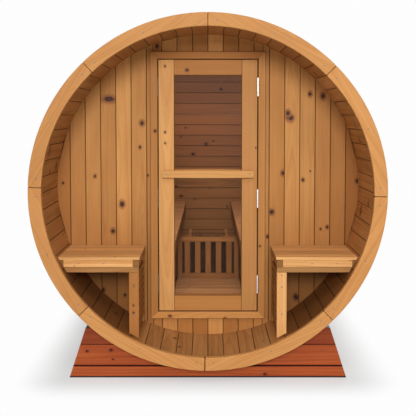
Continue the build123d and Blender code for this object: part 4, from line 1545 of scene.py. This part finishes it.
@dataclass
class CabinBench(PorchBench):
    """One cabin bench: crosswise slats, a deep fascia, posts and the slatted skirt."""

    slat_gap: float = 6 * MM
    slat_run: float = 98 * MM
    slat_tone: float = 1.45
    fascia_height: float = 90 * MM
    fascia: float = 28 * MM
    posts: int = 4
    post_width: float = 45 * MM
    post_x: float = 266.3 * MM
    outer_rail_x: float = 0.800
    skirt_look: tuple[int, float, float, float] = (131, 0.4, 0.95, 0.0)
    skirt_finish: WoodFinish = CABIN
    room: str = "cabin"

    def build_seat(self) -> None:
        """The slats across the bench, their outer ends scribed to the barrel."""
        node, inner, y, z = self.part("seat")
        seat = Joinery(111 + self.side, knotty=0.9, spread=0.09)
        run = np.ptp(y) + self.slat_gap
        count = round(run / self.slat_run)
        for low in y[0] + np.arange(count) * run / count:
            self.bar(seat, (inner, barrel.inner_r), (low, low + run / count - self.slat_gap), z, Along.X_FLAT,
                     self.slat_tone)
        seat.build(f"cabin_slats_{self.hand}", FLOOR, node)

    def build_frame(self) -> None:
        """Fascia, rails, posts and cross bearers."""
        node, inner, y, (_, top) = self.part("frame")
        z = np.array([top - self.rail_height, top])
        post_out = self.post_x + self.post_width
        piece = Joinery(121 + self.side, knotty=0.5, spread=0.05)
        self.bar(piece, (inner, inner + self.fascia), y, (top - self.fascia_height, top), Along.Y_EDGE, 0.80)
        self.bar(piece, (self.post_x, post_out), y, z, Along.Y_EDGE, 0.9)
        self.outer_rail(piece, y, z)
        for low in np.linspace(y[0], y[1] - self.post_width, self.posts):
            depth = (low, low + self.post_width)
            self.post(piece, self.post_x, depth, z[0] - SEAT, *self.back_post_tone)
            for x in ((inner + self.fascia + SEAT, self.post_x - SEAT),
                      (post_out + SEAT, self.outer_rail_x - SEAT)):
                self.bar(piece, x, depth, z, Along.X, 0.85)
        piece.build(f"cabin_bench_timbers_{self.hand}", CABIN, node)


@dataclass
class CabinFloor:
    """The duckboard: slats across two bearers, with painted light: lighter near the door, darker towards the
    back.
    """

    slat: float = 90 * MM
    gap: float = 15 * MM
    thick: float = 22 * MM
    half_width: float = 246 * MM
    bearer: Pair = (150 * MM, 190 * MM)
    # painted light: the slats' tones fall from the door towards the back
    light: Pair = (1.70, 1.05)
    light_slats: Pair = (7, 12)

    def build(self) -> None:
        """Build the duckboard."""
        _, y, (_, top) = spans("duckboard_floor")
        piece = Joinery(141, knotty=0.8, spread=0.10)
        run = np.ptp(y) + self.gap
        count = round(run / (self.slat + self.gap))
        for number in range(count):
            low = y[0] + number * run / count
            tone = np.interp(number, self.light_slats, self.light)
            piece.bar((-self.half_width, self.half_width), (low, low + self.slat), (top - self.thick, top),
                      Along.X_FLAT, tone)
        for side in (-1, 1):
            inner, outer = np.sort(np.multiply(self.bearer, side))
            high = top - self.thick - SEAT
            outline = [(inner, barrel.floor(inner)), (outer, barrel.floor(outer)),
                       (outer, high), (inner, high)]
            piece.rail(outline, y, (40 * MM, 40 * MM), 0.8)
        piece.build("duckboard_slats", FLOOR, "duckboard_floor")


@dataclass
class HeaterCorner:
    """The slatted guard and, behind it, the heater: a gridded steel cage full of stones."""

    post: float = 34 * MM
    top_rail: float = 39 * MM
    bottom_rail: float = 37 * MM
    tone: float = 0.80
    top_tone: float = 0.90
    bottom_tone: float = 0.78
    slats: int = 5
    slat_width: float = 43 * MM
    slat_thick: float = 16 * MM
    mesh_r: float = 1.4 * MM
    mesh_pitch: float = 5 * MM
    bars: int = 9
    levels: int = 6
    wire: float = 2.2 * MM
    corner_post: float = 22 * MM
    cage_drop: float = 27 * MM
    skin: float = 10 * MM
    stone_r: float = 32 * MM
    stone_sides: int = 12
    stone_rings: int = 7
    stone_layers: tuple[tuple[int, float], ...] = ((4, 1.6), (3, 0.85))

    def build_guard(self) -> None:
        """Posts, rails and slats, and the wire mesh behind them."""
        x, y, z = spans("heater_guard")
        piece = Joinery(151, knotty=0.4, spread=0.05)
        for side in ((x[0], x[0] + self.post), (x[1] - self.post, x[1])):
            piece.bar(side, y, z, Along.Z, self.tone)
        inner = (x[0] + self.post + SEAT, x[1] - self.post - SEAT)
        low, high = z[0] + self.bottom_rail, z[1] - self.top_rail
        piece.bar(inner, y, (high, z[1]), Along.X, self.top_tone)
        piece.bar(inner, y, (z[0], low), Along.X, self.bottom_tone)
        half, thick = self.slat_width / 2, np.array([-1, 1]) * self.slat_thick / 2
        for middle in inner[0] + (np.arange(self.slats) + 0.5) * np.ptp(inner) / self.slats:
            piece.bar((middle - half, middle + half), y.mean() + thick, (low + SEAT, high - SEAT), Along.Z,
                      self.tone)
        piece.build("slatted_guard", CABIN, "heater_guard")
        self.build_mesh({0: inner, 2: (low, high)}, y.mean() + thick[1] + 2 * self.mesh_r)

    def build_mesh(self, room: dict[int, Pair], y: float) -> None:
        """Stretch a welded wire mesh behind the slats.

        Args:
            room: the two places that it lies between along x (0) and z (2).
            y: of the level wires' middle.
        """
        mesh, r = Turned(), self.mesh_r
        for axis, other in ((0, 2), (2, 0)):
            count = round(np.ptp(room[other]) / self.mesh_pitch) + 1
            for place in np.linspace(*room[other], count)[1:-1]:
                centre = [room[axis][0], y + (2 * r if axis else 0.0), room[axis][0]]
                centre[other] = place
                mesh.rod(centre, axis, r, (0, np.ptp(room[axis])), 5)
        mesh.build("guard_mesh", MESH)

    def build_heater(self) -> None:
        """A cage of upright and level bars round a dark body, stones heaped on top, wooden corner posts."""
        box = spans("heater")
        inset = self.corner_post / 2
        body = box + [(inset, -inset), (inset, -inset), (0.0, -self.cage_drop)]
        middle, half = body.mean(axis=1), np.ptp(body, axis=1) / 2
        cage, wire, foot = Turned(), self.wire, body[2, 0]
        outline = eased(half[0] - self.skin, half[1] - self.skin, 12 * MM, 4)
        levels = np.array([0.0, 1.0, 1.0, 0.9]) * (2 * half[2] - 35 * MM)
        grid = np.array([np.column_stack([outline * share, np.full(len(outline), level)])
                         for level, share in zip(levels, (1.0, 1.0, 0.9, 0.9))])
        cage.sweep(grid + [middle[0], middle[1], foot])
        for share in (np.arange(self.bars) + 0.5) / self.bars * 2 - 1:
            for side in (-1, 1):
                for x, y in ((share * half[0], side * (half[1] - wire)),
                             (side * (half[0] - wire), share * half[1])):
                    cage.rod((middle[0] + x, middle[1] + y, foot), 2, wire, (0, 2 * half[2]), 6)
        for z in foot + (np.arange(self.levels) + 0.7) / self.levels * 2 * half[2]:
            for axis in (0, 1):
                reach = half[axis] - 1 * MM
                for side in (-1, 1):
                    centre = np.array([middle[0], middle[1], z])
                    centre[1 - axis] += side * (half[1 - axis] - 3 * wire)
                    cage.rod(centre, axis, wire, (-reach, reach), 6)
        cage.build("heater_cage", ENAMEL, "heater")
        posts, (x, y, z) = Joinery(161, knotty=0.0, spread=0.03), box
        for left in (x[0], x[1] - self.corner_post):
            for near in (y[0], y[1] - self.corner_post):
                posts.bar((left, left + self.corner_post), (near, near + self.corner_post), z, Along.Z, 1.2)
        posts.build("heater_corner_posts", CABIN)
        self.build_stones(body)

    def build_stones(self, room: Array) -> None:
        """Heap stones: each is a ball whose radius swells and dips with two slow waves.

        Args:
            room: the x, y and z that the cage runs between.
        """
        chance, stones, r = np.random.default_rng(7), Turned(), self.stone_r
        lift = np.linspace(0, math.pi, self.stone_rings + 2)[1:-1, None]
        angle = np.arange(self.stone_sides) / self.stone_sides * 2 * math.pi
        ball = np.stack([np.sin(lift) * np.cos(angle), np.sin(lift) * np.sin(angle),
                         np.cos(lift) * np.ones(self.stone_sides)], axis=-1)
        for count, sunk in self.stone_layers:
            for place in np.ndindex(count, count):
                share = (np.array(place) + 0.5) / count
                jitter = (chance.random(3) - 0.5) * 10 * MM
                across = room[:2, 0] + r + share * (np.ptp(room[:2], axis=1) - 2 * r)
                centre = np.array([*across, room[2, 1] - 12 * MM - r * sunk]) + jitter
                size = r * (0.85 + 0.3 * chance.random(3)) * np.array([1.05, 1.0, 0.72])
                phase = chance.random(4) * 2 * math.pi
                swell = 1 + 0.10 * np.sin(2 * angle + phase[0]) * np.sin(lift + phase[1])
                swell = swell + 0.07 * np.sin(3 * angle + phase[2]) * np.sin(2 * lift + phase[3])
                poles = np.array([(0, 0, size[2]), (0, 0, -size[2])])
                stones.poled(ball * swell[..., None] * size + centre, poles + centre)
        stones.build("heater_stones", STONE)

    def build(self) -> None:
        """Build the guard and the heater."""
        self.build_guard()
        self.build_heater()


@dataclass
class Cradle:
    """A cradle of boards on edge, stacked and hollowed to the staves."""

    node: str
    boards: tuple[float, float, float] = (70 * MM, 127 * MM, 96 * MM)
    bottom_half: float = 0.798
    top_half: float = 0.702
    hollow_r: float = 0.9673
    ease: float = 2 * MM
    steps: int = 41
    side_steps: int = 17
    joint: float = 0.85
    # painted shadow tones: along the foot and in the lower seam
    foot_shadow_tone: float = 0.05
    seam_shadow_tone: float = 0.25
    feet: tuple[float, float] = (9 * MM, 5 * MM)
    knots: Knots = in_plane(
        -1.165,
        (-0.695, 0.158, 0.006), (-0.557, 0.163, 0.007), (-0.546, 0.111, 0.005), (0.329, 0.023, 0.006),
    )

    def foot_and_seam_shade(self, points: Array) -> Array:
        """The tone at world points: painted shadow, low along the foot as a contact shadow and in the lower
        seam as a shadow gap.
        """
        z = points[:, 2]
        # painted shadow at the foot and in the lower seam
        foot, seam_shadow = z < self.feet[0] + 1 * MM, np.abs(z - self.boards[0] - 2 * MM) < 4 * MM
        return np.where(foot, self.foot_shadow_tone, np.where(seam_shadow, self.seam_shadow_tone, 1.0))

    def half_width(self, z: float) -> float:
        """Half the cradle's length at a height, which narrows evenly upwards."""
        return self.bottom_half + (self.top_half - self.bottom_half) * z / sum(self.boards)

    def hollow(self, x: Array) -> Array:
        """The hollow's z at each x."""
        return barrel.axis_z - half_chord(self.hollow_r, x)

    def board(self, piece: Joinery, x: tuple[Array, Array], z: tuple[float, float | Array], tone: float,
              warmth: float, foot: float = 2 * MM) -> None:
        """Fill between a bottom and a top edge with an eased section.

        Args:
            piece: that the board joins.
            x: along its lower and its upper edge, place for place.
            z: of its lower and its upper edge.
            tone: how light it is.
            warmth: how red it is.
            foot: the easing of its lower arrises.
        """
        y, e = spans(self.node)[1], self.ease
        thick = np.ptp(y)
        tall = np.maximum(np.hypot(x[1] - x[0], z[1] - z[0]), 1e-6)
        cut, low_cut, line = (np.minimum(size / tall, most) for size, most in
                              ((e, 0.3), (foot, 0.3), (foot + 5 * MM, 0.4)))
        none = np.zeros_like(tall)
        whole = none + 1
        top = whole - cut
        share = np.stack([line, low_cut, none, none, low_cut, line, top, whole, whole, top], axis=-1)
        across = y[0] + np.array([0.0, 0.0, foot, thick - foot, thick, thick, thick, thick - e, e, 0.0])
        low, high = (np.column_stack([edge_x, none + edge_z])[:, None] for edge_x, edge_z in zip(x, z))
        flat = low + (high - low) * share[..., None]
        grid = np.stack([flat[..., 0], np.broadcast_to(across, share.shape), flat[..., 1]], axis=-1)
        ends = np.array([grid.min(axis=(0, 1)), grid.max(axis=(0, 1))])
        half = np.ptp(ends, axis=0) / 2
        size = (half[0] + 0.2, half[2], thick / 2)
        piece.add(grid, Grain(ends.mean(axis=0), flat_axes(0, 1), size, tone, warmth, self.joint))

    def build(self) -> None:
        """Build the boards: two whole ones below, and one on each side above."""
        piece = Joinery(171 + len(self.node), self.knots, 0.5, 0.0, 7 * MM, self.foot_and_seam_shade)
        seams = np.cumsum([0.0, *self.boards])
        widths, spread = self.half_width(seams), np.linspace(-1, 1, self.steps)
        edges = [spread * width for width in widths]
        self.board(piece, (edges[0], edges[1]), (0.0, seams[1] - SEAT), 1.15, 0.0, self.feet[0])
        top = np.minimum(seams[2] - SEAT, self.hollow(edges[2]))
        self.board(piece, (edges[1], edges[2]), (seams[1], top), 1.10, 0.1, self.feet[1])
        inner = half_chord(self.hollow_r, barrel.axis_z - seams[2]) + 1 * MM
        for side in (-1, 1):
            bottom_x, top_x = (side * np.linspace(inner, width, self.side_steps) for width in widths[2:])
            top = np.maximum(np.minimum(seams[3], self.hollow(top_x)), seams[2] + 1 * MM)
            self.board(piece, (bottom_x, top_x), (seams[2], top), 0.9, 0.35)
        piece.build(f"stained_{self.node}", STAINED, self.node)


# ---- the studio -------------------------------------------------------------------------------
@dataclass
class Studio:
    """Camera, lamps, plain floor and white surroundings.

    A lamp is a name, its place, what it is aimed at, its width and its power in watts.  The floor
    is fully lit white outside the shadow's half sizes and the fade beyond them.
    """

    camera_place: tuple[float, float, float] = (0.0055, -5.215, 1.5127)
    tilt: float = 3.035
    lens: float = 61.93
    shift: Pair = (-0.002, -0.132)
    world: float = 0.17
    white: float = 0.985
    floor_colour: Colour = (0.84, 0.865, 0.87)
    floor_reach: float = 60.0
    floor_lift: float = 0.42
    shadow_half: Pair = (0.78, 1.165)
    shadow_fade: float = 0.343
    lamps: tuple[tuple, ...] = (
        ("key_lamp", (-0.1, -12.0, 4.6), (0.0, -0.9, 1.0), 3.6, 830.0),
        ("top_lamp", (0.8, -6.6, 8.4), (0.0, -0.9, 1.0), 4.4, 190.0),
        ("rear_lamp", (3.0, 11.0, 6.0), (0.0, 0.9, 1.0), 5.0, 480.0),
        ("cabin_lamp", (0.0, -0.62, 1.86), (0.0, 1.15, 1.0), 0.30, 9.5),
    )

    def put(self, data: bpy.types.ID, place: Sequence[float], turn: Sequence[float]) -> bpy.types.Object:
        """Put something into the scene.

        Args:
            data: a camera, a lamp or a mesh.
            place: in the part's frame.
            turn: its angles about x, y and z.

        Returns:
            Its object.
        """
        thing = bpy.data.objects.new(data.name, data)
        thing.location, thing.rotation_euler = place, turn
        bpy.context.scene.collection.objects.link(thing)
        return thing

    def build_camera(self) -> None:
        """Put the camera in front of the porch, just over head height."""
        camera = bpy.data.cameras.new("camera")
        camera.sensor_width, camera.lens = 36.0, self.lens
        camera.shift_x, camera.shift_y = self.shift
        turn = (math.radians(90 - self.tilt), 0.0, 0.0)
        bpy.context.scene.camera = self.put(camera, self.camera_place, turn)

    def seen(self, sh: Shader) -> Value:
        """Tell rays that are seen from rays that only light the scene.

        Args:
            sh: the tree that asks.

        Returns:
            1 for rays from the camera, from a mirror or through glass, else 0.
        """
        rays = sh.node("ShaderNodeLightPath", {}, {}).socket.node.outputs
        names = ("Is Camera Ray", "Is Glossy Ray", "Is Transmission Ray")
        camera, glossy, passed = (Value(sh, rays[name]) for name in names)
        return camera.most(glossy).most(passed)

    def build_world(self) -> None:
        """Even pale light that shows white to the camera."""
        world = bpy.data.worlds.new("studio")
        bpy.context.scene.world = world
        sh = Shader(world, "World")
        lit, white = sh.glow("Background", 1.0, self.world), sh.glow("Background", self.white, 1.0)
        sh.finish(sh.blend(self.seen(sh), lit, white))

    def build_floor(self) -> None:
        """A wide pale floor that keeps the sauna's shadow and turns white away from it."""
        mesh, far = bpy.data.meshes.new("studio_floor"), self.floor_reach
        mesh.from_pydata([(-far, -far, 0), (far, -far, 0), (far, far, 0), (-far, far, 0)], [], [(0, 1, 2, 3)])
        material = bpy.data.materials.new("studio_floor")
        sh = Shader(material)
        matt = sh.node("ShaderNodeBsdfDiffuse", {}, {"Color": self.floor_colour})
        x, y, _ = sh.parts(sh.place())
        beside, before = ((value.size() - half).most(0.0) for value, half in zip((x, y), self.shadow_half))
        away = (beside * beside + before * before).root().rise(0.0, self.shadow_fade)
        lift = away * (1.0 - self.floor_lift) + self.floor_lift
        sh.finish(sh.blend(self.seen(sh) * lift, matt, sh.glow("Emission", self.white, 1.0)))
        mesh.materials.append(material)
        self.put(mesh, (0.0, 0.0, 0.0), (0.0, 0.0, 0.0))

    def build_lamps(self) -> None:
        """Wide soft lamps in front, above and behind, and a small one in the cabin over the door."""
        for name, place, aim, size, power in self.lamps:
            lamp = bpy.data.lights.new(name, "AREA")
            lamp.shape, lamp.size, lamp.energy = "DISK", size, power
            x, y, z = np.subtract(aim, place)
            self.put(lamp, place, (math.pi / 2 + math.atan2(z, math.hypot(x, y)), 0.0, math.atan2(-x, y)))

    def build(self) -> None:
        """Build the studio."""
        self.build_camera()
        self.build_world()
        self.build_floor()
        self.build_lamps()
        bpy.context.scene.view_settings.view_transform = "Standard"


def main() -> None:
    """Build the studio and every piece in order."""
    logging.basicConfig(level=logging.INFO, format="%(name)s: %(message)s")
    Studio().build()
    for assembly in (
        Cooperage(), EndWalls(), Doorway(), DoorLeaf(), Hinges(), PorchBench(-1), PorchBench(1),
        CabinBench(-1), CabinBench(1), CabinFloor(), HeaterCorner(),
        Cradle("front_cradle"), Cradle("rear_cradle"),
    ):
        assembly.build()
        log.info("%s is in place", type(assembly).__name__)


if __name__ == "__main__":
    main()
